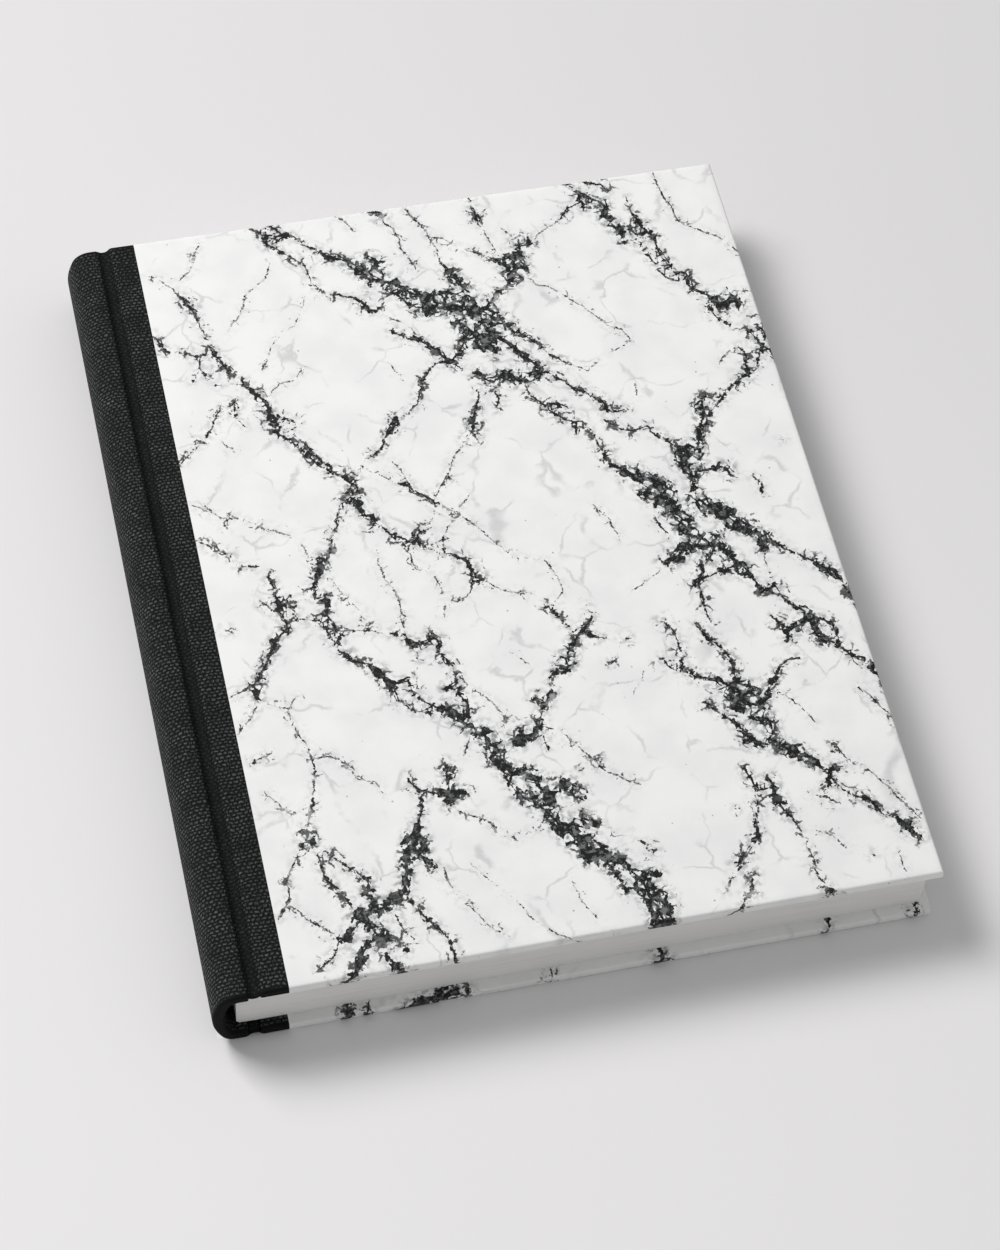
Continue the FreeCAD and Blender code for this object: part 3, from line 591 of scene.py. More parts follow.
        [(186.3, 86.3, 2.6), (186.9, 81.9, 3), (188.1, 78.1, 2.4), (191.3, 76.6, 1.4), (193.8, 74.4, 2.4),
         (195.6, 71.3, 2), (199.4, 68.1, 1.6), (201, 67, 1.4)], [(197.5, 68.8, 1), (200, 65, 1.1)],
        [(155, 253.5, 1.6), (156.9, 250.9, 2.4), (158.1, 247.8, 3), (158.8, 243.4, 1.4)],
        [(161.9, 253.5, 1.4), (164.4, 251.5, 1.2), (166.6, 249.1, 1.2)], [(161, 246, 1.6),
         (164.4, 242.8, 3.4), (163.1, 238.6, 3.4), (166.3, 234, 3.2), (167.5, 230.9, 2)],
        [(171.9, 244.6, 0.9), (172.5, 240.3, 1), (173.8, 236.5, 1.8), (174.4, 232.5, 2), (176.3, 229, 3)],
        [(170.3, 233, 1.6), (171.5, 230.3, 2), (174.5, 229.5, 3)], [(167.5, 229, 1.2), (171.3, 225.9, 1.2),
         (172.5, 222.8, 1.2), (174.4, 219, 1.4)], [(177.2, 227.1, 0.8), (176.3, 222.5, 1.4),
         (177.5, 218.4, 2.8), (178.8, 216.5, 1.6)], [(151.3, 240.9, 1.2), (153.8, 243.7, 1.4),
         (156.9, 245.9, 1.6)], [(180.6, 214, 1.2), (183.5, 211.5, 1.5), (183.8, 207.5, 1.2)],
        [(181.9, 210.9, 1.2), (182.5, 207.8, 1.4), (185.6, 204.6, 2), (188.1, 202.1, 3), (190.6, 199, 3.4),
         (194.4, 202, 3), (196, 199, 3), (195, 196.8, 1.6)], [(185.6, 199.6, 1.2), (187.5, 195.3, 1.6),
         (190.6, 191.5, 1.2)], [(195.6, 188.4, 1.8), (197.5, 183.4, 1.8), (199.4, 181, 1.8)],
        [(198.8, 192.5, 1.2), (200.6, 186.5, 1.8), (199.5, 184, 1.4)], [(123.8, 254, 1),
         (124.7, 250.3, 1.2), (125.1, 247.1, 1.5), (124.8, 244.6, 1.8), (125.4, 242.1, 1)],
        [(135.6, 233.2, 4)], [(138.8, 235.9, 0.9), (138.4, 233.4, 1.8)], [(134.4, 229.5, 3),
         (132.5, 226.5, 6), (131.9, 224, 7.5), (129.4, 221.5, 3.5)], [(126.3, 229, 1.2),
         (128.8, 226.5, 1.8)], [(77.5, 224, 0.9), (81.9, 221.8, 1.1), (84.1, 219.6, 1), (85, 216.5, 1.6),
         (87.8, 216.5, 0.9), (89.4, 218, 0.7)], [(111.9, 181.5, 0.8), (110.6, 177.1, 1),
         (108.8, 173.4, 1.4), (107.8, 170.2, 2.6), (107.3, 167, 2.6), (103.4, 164.8, 1.4)],
        [(107.2, 166, 1.2), (108.1, 163.3, 0.9)], [(40.3, 189, 1.8), (39.4, 185.9, 1.1), (40, 182.8, 1),
         (41.9, 180.6, 0.7)], [(35.6, 188.4, 1), (34.1, 184.6, 0.9), (31.9, 181.5, 0.8), (29.7, 180, 1),
         (26.9, 177.1, 0.5), (21.9, 172.1, 0.4)], [(21.6, 219, 0.8), (23.4, 213.4, 2), (24.5, 212, 1)],
        [(27.8, 210.9, 0.7), (30.6, 209.6, 0.8), (33.8, 209, 0.9), (36.9, 209.6, 1)], [(32.2, 207.8, 1),
         (32.5, 204, 1), (33.8, 200.9, 0.7)], [(21.6, 143.3, 0.6), (26.3, 139.5, 1.6), (30, 136.4, 1),
         (31.3, 132.6, 0.7), (36, 132, 0.7)], [(128.1, 90.1, 1.4), (125, 91.4, 1.4), (122.5, 94.5, 2.4),
         (125, 97.6, 1.4), (125.6, 101.4, 0.7)], [(122, 93.9, 1.8), (120, 91.4, 1.6), (117.5, 88.3, 3.5),
         (115.6, 84.4, 4.5), (112.5, 83.1, 3), (109.7, 80.6, 1.6)], [(121, 93, 0.9), (118.4, 95.8, 0.9),
         (116.3, 101.4, 1), (114.4, 103.9, 1.4)], [(145, 92.6, 1.8), (147.3, 89, 0.9), (148.1, 85.6, 1.2),
         (147.5, 78.8, 1.2), (146.9, 76.9, 1)], [(141.9, 80.6, 1.2), (143.8, 78.1, 0.9), (146.9, 76.6, 1)],
        [(183.1, 135.8, 0.8), (185, 133.3, 1.4), (184.6, 130.5, 0.8)], [(112.5, 18.8, 1.6),
         (114.4, 13.8, 1.4), (115.3, 10.6, 1.8)], [(121.9, 15, 2.2), (125, 14.4, 1.6)], [(124.4, 8.8, 2),
         (125, 2.5, 2)], [(156.3, 42, 1.6), (156.6, 38.5, 2), (157.2, 34.4, 1.2), (156.3, 28.1, 0.7),
         (154.4, 23, 1.2), (153.8, 21, 2), (150.8, 17.5, 1.8), (146.3, 12.5, 1.6)], [(157.5, 35, 1.4),
         (160, 35, 1.4)], [(161.3, 37.5, 2.2), (161.5, 33, 2.4), (162.5, 29, 2.8), (163.8, 26.3, 2.4),
         (165, 24, 1), (165.6, 20.6, 0.8)], [(168.5, 2.5, 1.6), (169.4, 0, 1.8)], [(116.9, 51.3, 1.8),
         (117.3, 48.8, 1.6)], [(150.9, 65, 1.6), (152.5, 61.3, 0.8)], [(124.7, 21.9, 1.3)],
        [(181.9, 42.5, 1.3)], [(134.4, 89.5, 1.5)], [(127.8, 82.1, 0.9)], [(179.4, 122, 1)],
        [(30, 199.6, 0.8)], [(36.6, 197.1, 0.9)], [(183.1, 9.4, 0.8)], [(195.6, 147.9, 0.7)],
        [(111, 49.4, 0.7)], [(150.2, 29.4, 0.6)],
    ],
    0.55: [
        [(40.3, 250.3, 0.8), (38.1, 245.9, 0.7), (37.2, 242.8, 0.6), (35, 240.3, 0.8), (33.1, 238.4, 1)],
        [(23.1, 241.2, 0.5), (26.9, 238.4, 0.5), (29.4, 235.9, 1), (31.3, 232.1, 1)], [(83.9, 252, 1),
         (86.6, 247.4, 0.7)], [(94, 254, 3), (96.3, 250.5, 3.5)], [(96.8, 248, 1.2), (98.8, 245.9, 1),
         (99.8, 242.1, 0.8), (99.4, 237.8, 1.2), (100.9, 234, 0.8), (102.2, 230, 1)], [(103.8, 254, 0.9),
         (105.6, 248.4, 1), (107.5, 245.9, 0.9), (109, 242.8, 0.9), (109.2, 240, 1), (110, 235.5, 0.5),
         (110.6, 230, 0.8)], [(110.6, 240.6, 0.5), (114.4, 237.8, 0.7), (117.5, 234.6, 0.8),
         (119.5, 232.5, 1.4), (123.8, 229.9, 0.5), (126.9, 228.4, 0.8)], [(125.1, 247, 0.6),
         (128.4, 247.8, 0.5)], [(126.6, 239, 1), (126.9, 235.3, 0.8), (127.8, 231.5, 0.8)],
        [(131.9, 239.6, 0.6), (134.4, 235.3, 0.5)], [(141.3, 235.9, 0.5), (145, 237.4, 0.8),
         (147.5, 238.4, 1), (151.3, 240.9, 0.8)], [(131.9, 219, 1.6), (127, 217.2, 1.6), (124.4, 215.3, 2),
         (122.5, 212.8, 2.5)], [(135.3, 219.6, 0.9), (137.5, 216.5, 0.6), (140, 215.6, 0.8),
         (142.5, 213.4, 0.4), (146.3, 209.6, 0.7), (148.8, 205.3, 0.5), (152.5, 201.5, 0.6),
         (154.4, 198.7, 0.8), (158.8, 195.3, 0.8), (160, 190.3, 0.5)], [(182, 253, 0.5),
         (182.8, 247.1, 0.9), (183.4, 241.5, 1.2), (185, 236.5, 0.8), (187.5, 231.5, 0.4),
         (193.1, 227.8, 0.4), (195.6, 225.3, 0.6), (198.1, 221.5, 0.6), (200, 219, 0.5)],
        [(194.4, 205.3, 0.8), (196, 203.8, 0.8), (200.5, 203, 0.6)], [(175, 216, 1.8), (177, 213, 1.8),
         (179.5, 211, 1.6)], [(91.3, 212.8, 0.9), (93.8, 210.9, 0.9)], [(51.6, 192.4, 0.8),
         (53.8, 194.6, 0.8), (57, 194.5, 0.5), (61.9, 197.8, 0.4)], [(73.1, 160.1, 0.9),
         (75.3, 158.6, 0.7), (77.5, 156.4, 0.6), (80, 153.9, 0.6)], [(82, 160, 0.6), (83.6, 155, 0.5),
         (84.4, 152, 0.8)], [(103.4, 164.8, 0.8), (101.9, 162, 0.6), (99.4, 158.9, 0.5),
         (96.9, 155.8, 0.6), (95.9, 153.3, 0.8), (97.8, 151.7, 0.8)], [(95.5, 153, 0.6),
         (92.5, 148.9, 0.5), (90.6, 145.1, 0.8), (89.4, 140.8, 0.6), (86.9, 137, 0.6)],
        [(90.6, 145.1, 0.5), (94.4, 141.4, 0.6), (96.3, 138.9, 1), (100, 135.1, 0.6), (102.5, 130.8, 0.6),
         (104.4, 127.6, 0.5), (108.8, 122.6, 0.4), (113.4, 120.4, 0.5)], [(96.3, 139, 0.8),
         (97.5, 141.8, 0.8), (100.3, 145.1, 0.6)], [(95, 138, 0.5), (91.8, 133.5, 0.7), (90, 130.1, 0.6)],
        [(53.8, 106.7, 0.8), (59.4, 106.4, 0.8), (66.3, 103.9, 0.5)], [(55.6, 124.5, 0.5),
         (58.1, 119.5, 0.5), (61.3, 114.5, 0.5), (63.1, 109.5, 1), (64.4, 107, 0.5)], [(70.3, 130.8, 0.4),
         (70.6, 123.9, 0.5), (72.8, 117, 0.7), (73.8, 112.6, 0.8), (74.1, 108.3, 0.7), (72.8, 102, 0.8)],
        [(78.8, 132, 0.7), (80.6, 128.3, 0.6), (80.6, 124.5, 1)], [(84.4, 120.8, 0.6), (86.3, 115.8, 0.5),
         (86.9, 112.6, 0.6), (85.6, 106.4, 0.5)], [(87.5, 109.5, 1), (92.5, 111.4, 0.5), (95.6, 115.8, 1)],
        [(98.4, 116.1, 0.8), (101.9, 112.6, 0.5), (105.6, 111.1, 0.5), (110, 109.5, 0.4)],
        [(63.1, 148.3, 1), (61.5, 145.1, 1), (61.3, 141.4, 1.4), (58.8, 137.9, 1), (57.5, 133.9, 3),
         (55.5, 132, 3)], [(50, 137, 0.7), (51.3, 133.3, 0.8), (52.5, 129.5, 1)], [(49.1, 121.4, 1.4),
         (46.3, 122, 1), (43.1, 120.8, 1), (40.6, 118.6, 1.4)], [(21.9, 156.4, 0.4), (26.3, 153.3, 0.8),
         (29.4, 150.1, 0.8), (29.7, 146.4, 0.8)], [(29.4, 150.1, 0.6), (33.1, 150.1, 0.9),
         (38.8, 147, 0.4), (46.9, 142, 0.4)], [(33.8, 122, 0.8), (36.9, 118.9, 1.1), (38.8, 116.4, 1.2)],
        [(24.4, 112.6, 2)], [(21.9, 90.8, 0.9), (26.3, 92.6, 0.9)], [(27.5, 85.8, 2), (24, 83, 1),
         (22, 80, 1)], [(31.9, 87, 0.8), (35.6, 83.9, 0.8), (38.8, 87.6, 0.4)], [(35.3, 47.5, 1),
         (36.9, 53.8, 0.7), (38.4, 60, 1.2), (40, 65, 0.8), (40.3, 68.1, 1), (38.1, 75, 1),
         (36.6, 80, 0.7), (35.6, 84.4, 0.5)], [(40.3, 68.1, 0.8), (43.8, 67.5, 0.8), (46.9, 65.6, 0.8),
         (50, 62.5, 0.6), (50.6, 59.4, 0.6), (55.6, 57.5, 0.6), (57.2, 53.1, 0.6)], [(29.4, 40.6, 0.6),
         (28.8, 36.9, 1), (25.9, 31.9, 1), (25.6, 26.3, 1.4), (21.9, 21.9, 1.4)], [(25.6, 24.5, 0.8),
         (27.5, 20.6, 1), (31.9, 16.9, 1.2), (35.6, 11.9, 0.6)], [(25, 58.8, 0.6), (28.8, 53.8, 0.6),
         (31.3, 50, 0.5)], [(24.4, 69.4, 1.8), (28.5, 71, 1.2)], [(67.5, 27.5, 1), (68.1, 22.5, 1),
         (71.3, 15.6, 0.5), (75, 10, 0.6), (80, 3.8, 0.4)], [(87.5, 81.3, 0.6), (92.5, 75.6, 0.6),
         (94.4, 70, 0.8)], [(80.6, 61.3, 1.2), (83.8, 64.4, 1)], [(76.3, 43.1, 1), (80.6, 40.6, 0.7),
         (83.8, 38, 1.6), (85, 35.5, 0.8), (88.8, 31.9, 0.7)], [(93, 33, 0.6), (96.3, 34.4, 0.8),
         (99, 37, 0.8)], [(104, 75, 3), (106, 72, 2), (109, 75, 2.5)], [(108, 35, 5), (111, 33, 3.5)],
        [(75.5, 56, 4)], [(105, 66.3, 0.4), (108.8, 63.1, 0.4), (113.1, 55.6, 0.6), (116.9, 51.3, 1),
         (118.1, 47.5, 0.6), (122.5, 44.4, 0.5), (125.6, 42.5, 0.5)], [(115.6, 28, 0.7), (120, 27.5, 0.6),
         (122.5, 25, 0.6), (124.7, 21.9, 1)], [(149.4, 9.4, 3), (148.1, 4.4, 2.6), (145, 1.3, 1.6)],
        [(148.5, 14, 3), (151, 17, 2.5)], [(144.4, 8.8, 0.9), (141, 6, 0.9)], [(170.6, 30, 0.9),
         (175.6, 28.4, 0.8), (178.1, 26.3, 1.2)], [(171.3, 19.4, 0.4), (174.4, 16.3, 0.8),
         (176.3, 13.1, 0.7)], [(166.3, 14.4, 1.6), (166.9, 10, 0.8), (166.9, 5.6, 0.9), (168.5, 3, 1.4)],
        [(183, 42, 0.5), (186.3, 36.9, 0.4), (190.6, 33.8, 0.6), (194.4, 27.5, 1), (196.9, 22.5, 0.8),
         (198.8, 17.5, 0.8)], [(194.4, 61.3, 1.6), (197.5, 56.9, 0.9), (199.4, 53.1, 0.9)],
        [(170.6, 65, 0.5), (174.4, 61.9, 0.8), (176.9, 57.5, 0.5), (178.8, 52.5, 0.4)], [(180, 109.5, 0.8),
         (180.3, 104.5, 0.8), (180.9, 100, 0.9)], [(135.6, 134.5, 0.8), (138.8, 128.3, 1),
         (139.4, 125.1, 0.7), (140, 122, 0.5)], [(117.5, 118.9, 0.6), (119.7, 111.4, 0.6), (120, 107, 0.9),
         (117, 104.5, 0.8)], [(188.1, 182, 0.8), (185, 178, 1)], [(185.6, 168.7, 0.8), (181.9, 166.5, 1),
         (177, 165, 1)], [(154, 122, 1), (152, 125, 1.5), (151, 128, 1)], [(190.6, 8.8, 0.7),
         (190.6, 2.5, 0.5)],
    ],
    0.25: [
        [(60, 239.6, 0.6), (57.5, 234.6, 0.6), (52.5, 230.3, 0.6), (49.4, 225.9, 0.6), (47.2, 220, 0.8),
         (43.1, 215.3, 0.5)], [(70, 229, 1.2), (66.3, 222.1, 0.6), (62.5, 215.9, 0.6), (58.1, 212.1, 0.6),
         (54.7, 209, 0.7), (52.5, 204, 0.5), (50.5, 200.9, 0.8)], [(139.7, 185.9, 0.6), (145, 182.8, 0.5),
         (152.5, 187.8, 0.5), (160, 190.3, 0.8)], [(157.5, 176.5, 0.9), (156.9, 169.6, 1)],
        [(34.4, 177.5, 0.6), (37.5, 172.5, 0.3)], [(75.6, 26.9, 0.5), (80, 20, 0.3), (84.4, 13.8, 0.4),
         (86.9, 9.4, 0.3), (91.3, 4.4, 0.4), (95.6, 0.6, 0.4)], [(101.3, 16.3, 0.5), (102.5, 11.3, 0.4),
         (105.6, 5.6, 0.4), (107.5, 1.3, 0.4)], [(140, 103.9, 0.4), (146.3, 107.6, 0.4), (150, 110, 0.6)],
        [(136.3, 76.9, 0.6), (131.3, 71.3, 0.3)], [(100.6, 90.8, 0.5), (103.8, 86.4, 0.4)],
        [(86.9, 195.9, 0.6), (90, 190.3, 0.5)],
    ],
}
backSpots = [    # what shows along the tail of the back cover
    [(36, 3, 1.5), (37, -1, 2.5), (36.5, -6, 2)], [(41, 1, 1.2), (42, -5, 1)],
    [(49, 2, 2), (54, -1, 4), (60, -2.5, 5), (66, -4, 3.5)], [(69, 2, 1.5), (70, -4, 1.2)],
    [(92, -1, 1), (93, -5, 1)], [(122, 3, 2.4), (124, -1, 3.5), (123, -6, 2)],
    [(171, 2, 1.2), (172, -5, 1.4)], [(196, 1, 1), (197, -5, 1.5)],
]


def lengthened(route):  # a vein that reaches the sheet's edge runs on round it
    route = [tuple(p) for p in route]
    nearEdge = paperSizes["nearEdge"]
    for end, before in ((0, 1), (-1, -2)):
        if len(route) < 2:
            continue
        (x, y, w), (px, py, _) = route[end], route[before]
        outside = max(x - case["width"] + nearEdge, nearEdge - y, y - case["height"] + nearEdge)
        if outside > 0:
            step = paperSizes["runOn"] / max(math.hypot(x - px, y - py), 0.1)
            extra = (x + (x - px) * step, y + (y - py) * step, w)
            route = [extra] + route if end == 0 else route + [extra]
    return route


def allRoutes(side):
    routes = [(tone, lengthened(route)) for tone, group in veins.items() for route in group]
    if side == "back":  # the same printed sheet, cut the other way up
        turned = clothEdge + case["width"]
        routes = [(tone, [(turned - x, case["height"] - y, w) for x, y, w in route])
                  for tone, route in routes]
        routes = [(tone, route) for tone, route in routes if min(y for _, y, _ in route) > 2]
        routes += [(1.0, route) for route in backSpots]
    return routes


def veinField(points, routes):  # signed distance across the nearest vein, its distance, half width and tone
    px, py = points[:, 0], points[:, 1]
    bare = paperSizes["bare"]
    best = np.full(len(points), -bare)
    found = {"veinAcross": np.full(len(points), bare), "veinAway": np.full(len(points), bare),
             "veinHalf": np.zeros(len(points)), "veinTone": np.full(len(points), min(veins))}
    for tone, route in routes:
        if len(route) == 1:                                  # a spot
            x, y, w = route[0]
            route = [(x - 0.1, y, w), (x + 0.1, y, w)]
        for (x0, y0, w0), (x1, y1, w1) in zip(route, route[1:]):
            reach = paperSizes["feather"] + max(w0, w1) / 2
            near = np.flatnonzero((px > min(x0, x1) - reach) & (px < max(x0, x1) + reach)
                                  & (py > min(y0, y1) - reach) & (py < max(y0, y1) + reach))
            ex, ey = x1 - x0, y1 - y0
            dx, dy = px[near] - x0, py[near] - y0
            t = np.clip((dx * ex + dy * ey) / max(ex * ex + ey * ey, 1e-6), 0, 1)
            away = np.hypot(dx - t * ex, dy - t * ey)
            half = (w0 + (w1 - w0) * t) / 2
            score = half - away - (1 - tone) * 0.6           # a faint vein gives way to a dark one
            better = score > best[near]
            chosen = near[better]
            best[chosen] = score[better]
            found["veinAway"][chosen] = away[better]
            found["veinAcross"][chosen] = np.where(ex * dy - ey * dx < 0, -away, away)[better]
            found["veinHalf"][chosen] = half[better]
            found["veinTone"][chosen] = tone
    return found


def coverPaper(side):
    s = paperSizes
    edgeRound, innerRound = s["edgeRound"], s["innerRound"]
    reachX, reachY = case["width"] - edgeRound, halfHeight - edgeRound
    bm = bmesh.new()
    travel = bm.verts.layers.float.new("travel")         # how far past the top face's rim, round the edge
    bmesh.ops.create_grid(bm, x_segments=round((reachX - clothEdge) / s["pitch"]),
                          y_segments=round(2 * reachY / s["pitch"]), size=1)
    for v in bm.verts:
        v.co = Vector((clothEdge + (v.co.x + 1) / 2 * (reachX - clothEdge), v.co.y * reachY, 0))
    rings = []                                           # (outward, depth) of each ring past the rim
    quarter = [math.pi / 2 * i / s["edgeSteps"] for i in range(1, s["edgeSteps"] + 1)]
    for a in quarter:
        rings.append((edgeRound * math.sin(a), edgeRound * (1 - math.cos(a))))
    rings += [(edgeRound, s["wall"] / 2), (edgeRound, s["wall"] - innerRound)]
    for a in quarter:
        rings.append((edgeRound - innerRound * (1 - math.cos(a)), s["wall"] - innerRound * (1 - math.sin(a))))
    first = rings[-1][0]
    folds = round((s["turnIn"] - innerRound) / s["pitch"])
    rings += [(first - (s["turnIn"] - innerRound) * i / folds, s["wall"]) for i in range(1, folds + 1)]
    edges = [e for e in bm.edges
             if e.is_boundary and not all(abs(v.co.x - clothEdge) < 0.01 for v in e.verts)]
    last = (0.0, 0.0)
    for outward, depth in rings:
        step = math.hypot(outward - last[0], depth - last[1])
        fresh = bmesh.ops.extrude_edge_only(bm, edges=edges)["geom"]
        edges = [g for g in fresh if isinstance(g, bmesh.types.BMEdge)]
        toX, toY = reachX + outward, reachY + outward
        wasX, wasY = reachX + last[0], reachY + last[0]
        for v in (g for g in fresh if isinstance(g, bmesh.types.BMVert)):
            x, y = v.co.x, v.co.y
            v.co.x = toX if abs(x - wasX) < 0.01 else min(x, toX)
            v.co.y = math.copysign(toY, y) if abs(abs(y) - wasY) < 0.01 else max(-toY, min(y, toY))
            v.co.z = -depth
            v[travel] += step
        last = (outward, depth)
    bmesh.ops.remove_doubles(bm, verts=bm.verts[:], dist=s["merge"])
    uvLayer = bm.loops.layers.uv.new("sheet")

    def flat(co, gone, onFore, onEnd):                   # the point's place on the sheet before it was folded
        x = reachX + gone if onFore else co.x
        y = math.copysign(reachY + gone, co.y) if onEnd else co.y
        return (x, y + halfHeight)

    for face in bm.faces:
        centre = face.calc_center_median()
        beyond = any(v[travel] > 0 for v in face.verts)
        onFore = beyond and case["width"] - centre.x < halfHeight - abs(centre.y)
        for loop in face.loops:
            x, y = flat(loop.vert.co, loop.vert[travel], onFore, beyond and not onFore)
            loop[uvLayer].uv = (x + s["roll"][side], y)
    points = []
    for v in bm.verts:
        onFore = v[travel] > 0 and case["width"] - v.co.x < halfHeight - abs(v.co.y)
        x, y = flat(v.co, v[travel], onFore, v[travel] > 0 and not onFore)
        stray = Vector()
        for size, seed, reach in s["wander"]:
            for axis in (0, 1):        # each direction has its own slice of the noise
                spot = Vector((x / size, y / size, seed + 20 * axis))
                stray[axis] += noise.noise(spot) * reach
        points.append((x + stray.x, y + stray.y))
    found = veinField(np.array(points), allRoutes(side))
    for name, values in found.items():
        layer = bm.verts.layers.float.new(name)
        for v, value in zip(bm.verts, values):
            v[layer] = float(value)
    for v in bm.verts:
        v.co = place(v.co.x, v.co.y, case["thickness"] + v.co.z if side == "front" else -v.co.z)
    if side == "back":
        bmesh.ops.reverse_faces(bm, faces=bm.faces[:])
    bm.verts.layers.float.remove(bm.verts.layers.float["travel"])
    bm.normal_update()
    bmesh.ops.solidify(bm, geom=bm.faces[:], thickness=s["thickness"] * mm)
    piece = newPiece(bm, side + "_marbled_paper", materials["marble"])
    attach(piece, side + "_cover")
    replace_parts(piece, side + "_cover_paper")
    print(piece.name, "triangles", sum(len(p.vertices) - 2 for p in piece.data.polygons))


coverPaper("front")
coverPaper("back")


# Text block: sewn leaves, trimmed on three sides, rounded back into the shoulder

blockSizes = {
    "bundles": 46, "shoulder": 6.0, "foot": 1.0, "step": 2.6,
    "groove": 0.045, "uneven": 0.05, "waver": 0.05, "short": 0.03,    # how the bundles stand in and out
    "bevel": 0.22,                                                    # share of a bundle's thickness
    "lowest": inBook("text_block")[0], "highest": inBook("text_block")[1],
}


def textBlock():
    s = blockSizes
    low, high, shoulder, foot, bundles = s["lowest"], s["highest"], s["shoulder"], s["foot"], s["bundles"]
    draw = random.Random(11)
    cutsX, cutsY = round((high.x - low.x) / s["step"]), round((high.y - low.y) / s["step"])

    def backAt(z):                                       # the block's back at a height
        if z > high.z - shoulder:
            return low.x + shoulder - math.sqrt(max(shoulder ** 2 - (z - high.z + shoulder) ** 2, 0))
        if z < low.z + foot:
            return low.x + foot - math.sqrt(max(foot ** 2 - (low.z + foot - z) ** 2, 0))
        return low.x

    bm = bmesh.new()
    home = bm.verts.layers.float_vector.new("home")
    bmesh.ops.create_grid(bm, x_segments=1, y_segments=1, size=1)
    alongX = [e for e in bm.edges if abs(e.verts[0].co.y - e.verts[1].co.y) < 0.1]
    bmesh.ops.subdivide_edges(bm, edges=alongX, cuts=cutsX)
    alongY = [e for e in bm.edges if abs(e.verts[0].co.x - e.verts[1].co.x) < 0.01
              and abs(e.verts[0].co.y - e.verts[1].co.y) > 1]
    bmesh.ops.subdivide_edges(bm, edges=alongY, cuts=cutsY)
    for v in bm.verts:
        v[home] = v.co
    shares = sorted(draw.uniform(0.3, 1) for _ in range(bundles))
    heights = [low.z + (high.z - low.z) * i / bundles for i in range(bundles + 1)]
    levels = [(low.z, s["groove"])]                      # (height, how far the edges stand in)
    for bottom, top in zip(heights, heights[1:]):
        proud = draw.uniform(0, s["uneven"]) * shares[draw.randrange(len(shares))]
        bevel = s["bevel"] * (top - bottom)
        levels += [(bottom + bevel, proud), (top - bevel, proud), (top, proud + s["groove"])]

    def shape(verts, z, inset):
        back = backAt(z)
        for v in verts:
            u, w = v[home].x, v[home].y
            wave = s["waver"] * noise.noise(Vector((u * 9, w * 12, z * 1.7)))
            x = back + (high.x - back) * (u + 1) / 2
            y = high.y * w
            x -= inset + wave + s["short"] if u > 0.999 else 0
            y -= math.copysign(inset + wave + s["short"], y) if abs(w) > 0.999 else 0
            v.co = place(x, y, z)

    shape(bm.verts, *levels[0])
    top = bm.faces[:]
    for z, inset in levels[1:]:
        made = bmesh.ops.extrude_face_region(bm, geom=top)["geom"]
        if z > levels[1][0]:                             # the first faces stay as the block's underside
            bmesh.ops.delete(bm, geom=top, context="FACES_KEEP_BOUNDARY")
        top = [g for g in made if isinstance(g, bmesh.types.BMFace)]
        shape([g for g in made if isinstance(g, bmesh.types.BMVert)], z, inset)
    bmesh.ops.recalc_face_normals(bm, faces=bm.faces[:])
    bm.verts.layers.float_vector.remove(home)
    piece = newPiece(bm, "text_block_leaves", materials["pages"])
    for polygon in piece.data.polygons:
        polygon.use_smooth = False
    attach(piece, "book_block")
    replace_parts(piece, "text_block")
    print("text block triangles", sum(len(p.vertices) - 2 for p in piece.data.polygons))


textBlock()


# Joint papers: the part of each folded endpaper that bends between pastedown and flyleaf

jointSizes = {"thickness": 0.18, "bendFrom": 11.0, "bendTo": 11.45, "rows": 40, "short": 0.1,
              "front": [(10.62, 21.3), (10.9, 21.56), (11.2, 21.63), (11.5, 21.66)],
              "back": [(7.6, 3.5), (8.2, 3.36), (9.2, 3.3), (10.4, 3.3), (11.0, 3.3), (11.5, 3.3)]}


def jointPaper(side):
    route = jointSizes[side]
    length = inBook("text_block")[1].y - jointSizes["short"]
    bm = bmesh.new()
    bmesh.ops.create_grid(bm, x_segments=len(route) - 1, y_segments=jointSizes["rows"], size=1)
    for v in bm.verts:
        x, z = route[round((v.co.x + 1) / 2 * (len(route) - 1))]
        v.co = place(x, v.co.y * length, z)
    bmesh.ops.solidify(bm, geom=bm.faces[:], thickness=jointSizes["thickness"] * mm)
    piece = newPiece(bm, side + "_joint_paper", materials["endpaper"])
    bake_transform(piece, "book_block", side + "_cover", start=place(jointSizes["bendFrom"], 0, 0),
             end=place(jointSizes["bendTo"], 0, 0))


jointPaper("front")
jointPaper("back")
print("leaves and endpapers in place")


# Stage, lights and camera

stageSizes = {
    "floor": 6.0, "drop": 0.0001, "inset": 0.0012, "fade": (0.65, 1.5),            # metres
    # near and far: the floor's colour darkens along the slope, a painted falloff of the lamp's light; turn
    # gives where it passes from one to the other
    "near": "#eae8e8", "far": "#dad8d8", "shadeSlope": (0.35, 0.9, 0), "turn": (-0.22, 0.28),   # where it darkens
    "background": "#dfdddd", "sky": "#f6f7f8", "ambient": 0.45,
    "lamp": 42.0, "lampPlace": (-1.05, 1.05, 1.7), "lampSize": 1.0,
}


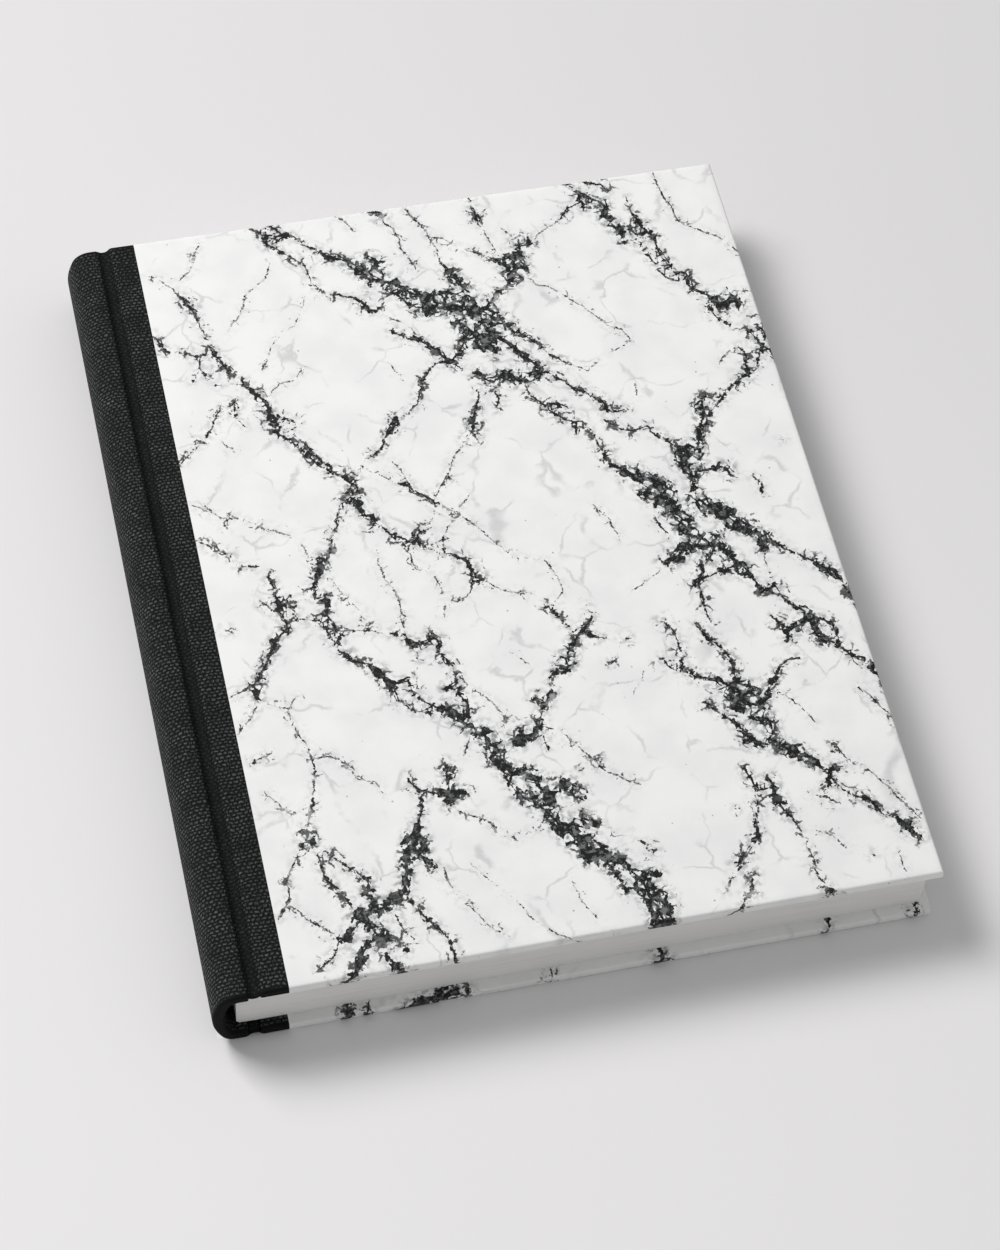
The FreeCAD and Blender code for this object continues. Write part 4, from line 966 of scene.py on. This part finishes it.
def stageFloor():  # matt pale paper sweep, cut out under the book so that its underside gets light too
    s = stageSizes
    material, add = newMaterial("Seamless paper sweep")
    where = add("TexCoord", output="Object")
    grain = add("TexNoise", {"Vector": where, "Scale": 300.0, "Detail": 2.0}, "Fac")
    # painted shade: the floor's colour darkens along the slope, standing in for the lamp's falloff
    along = add("VectorMath", (where, s["shadeSlope"]), "Value", operation="DOT_PRODUCT")
    tint = add("SMOOTHSTEP", (add("ADD", (along, add("MULTIPLY", (grain, 0.02)))), *s["turn"]))
    colour = add("Mix", {0: tint, 6: s["near"], 7: s["far"]}, 2, data_type="RGBA")
    rough = add("SMOOTHSTEP", (grain, 0.0, 1.0, 0.9, 1.0))
    surface = finishSurface(add, colour, rough, grain, 0.05, 0.1 * mm)
    away = add("SMOOTHSTEP", (add("VectorMath", [where], "Value", operation="LENGTH"), *s["fade"]))
    distant = add("MULTIPLY", (away, add("LightPath", output="Is Camera Ray")))
    paper = add("MixShader", (distant, surface, add("Emission", {"Color": s["background"]})))
    behind = add("NewGeometry", output="Backfacing")                               # clear from below
    add("OutputMaterial", {"Surface": add("MixShader", (behind, paper, add("BsdfTransparent")))})
    bm = bmesh.new()
    bmesh.ops.create_grid(bm, x_segments=3, y_segments=3, size=1)
    reach = s["floor"] / 2
    for v in bm.verts:
        for axis in (0, 1):
            lines = (-reach, cadBox[0][axis] + s["inset"], cadBox[1][axis] - s["inset"], reach)
            v.co[axis] = lines[round((v.co[axis] + 1) * 1.5)]
        v.co.z = -s["drop"]
    under = [face for face in bm.faces if face.calc_center_median().length < 0.05]
    bmesh.ops.delete(bm, geom=under, context="FACES")
    newPiece(bm, "floor", material)


def studio():
    world = bpy.data.worlds.new("soft room")
    scene.world = world
    world.use_nodes = True
    world.node_tree.nodes.clear()
    add = partial(addNode, world.node_tree)
    light = add("Background", {"Color": stageSizes["sky"], "Strength": stageSizes["ambient"]})
    seen = add("Background", {"Color": stageSizes["background"]})
    add("OutputWorld", {"Surface": add("MixShader", (add("LightPath", output="Is Camera Ray"), light, seen))})
    lamp = bpy.data.lights.new("softbox", "AREA")
    lamp.shape, lamp.size = "SQUARE", stageSizes["lampSize"]
    lamp.energy = stageSizes["lamp"]
    holder = bpy.data.objects.new("softbox", lamp)
    holder.location = stageSizes["lampPlace"]
    holder.rotation_euler = (-Vector(stageSizes["lampPlace"])).to_track_quat("-Z", "Y").to_euler()
    scene.collection.objects.link(holder)


cameraSizes = {"place": (-0.15031, -0.51262, 0.81780), "turn": (32.550, -2.885, -12.609),
               "lens": 96.28, "filmHeight": 36}


def bookCamera():
    camera = bpy.data.cameras.new("camera")
    camera.sensor_fit, camera.sensor_height = "VERTICAL", cameraSizes["filmHeight"]
    camera.lens = cameraSizes["lens"]
    holder = bpy.data.objects.new("camera", camera)
    holder.location = cameraSizes["place"]
    holder.rotation_euler = Euler([math.radians(a) for a in cameraSizes["turn"]])
    scene.collection.objects.link(holder)
    scene.camera = holder


stageFloor()
studio()
bookCamera()
print("stage, lights and camera set")
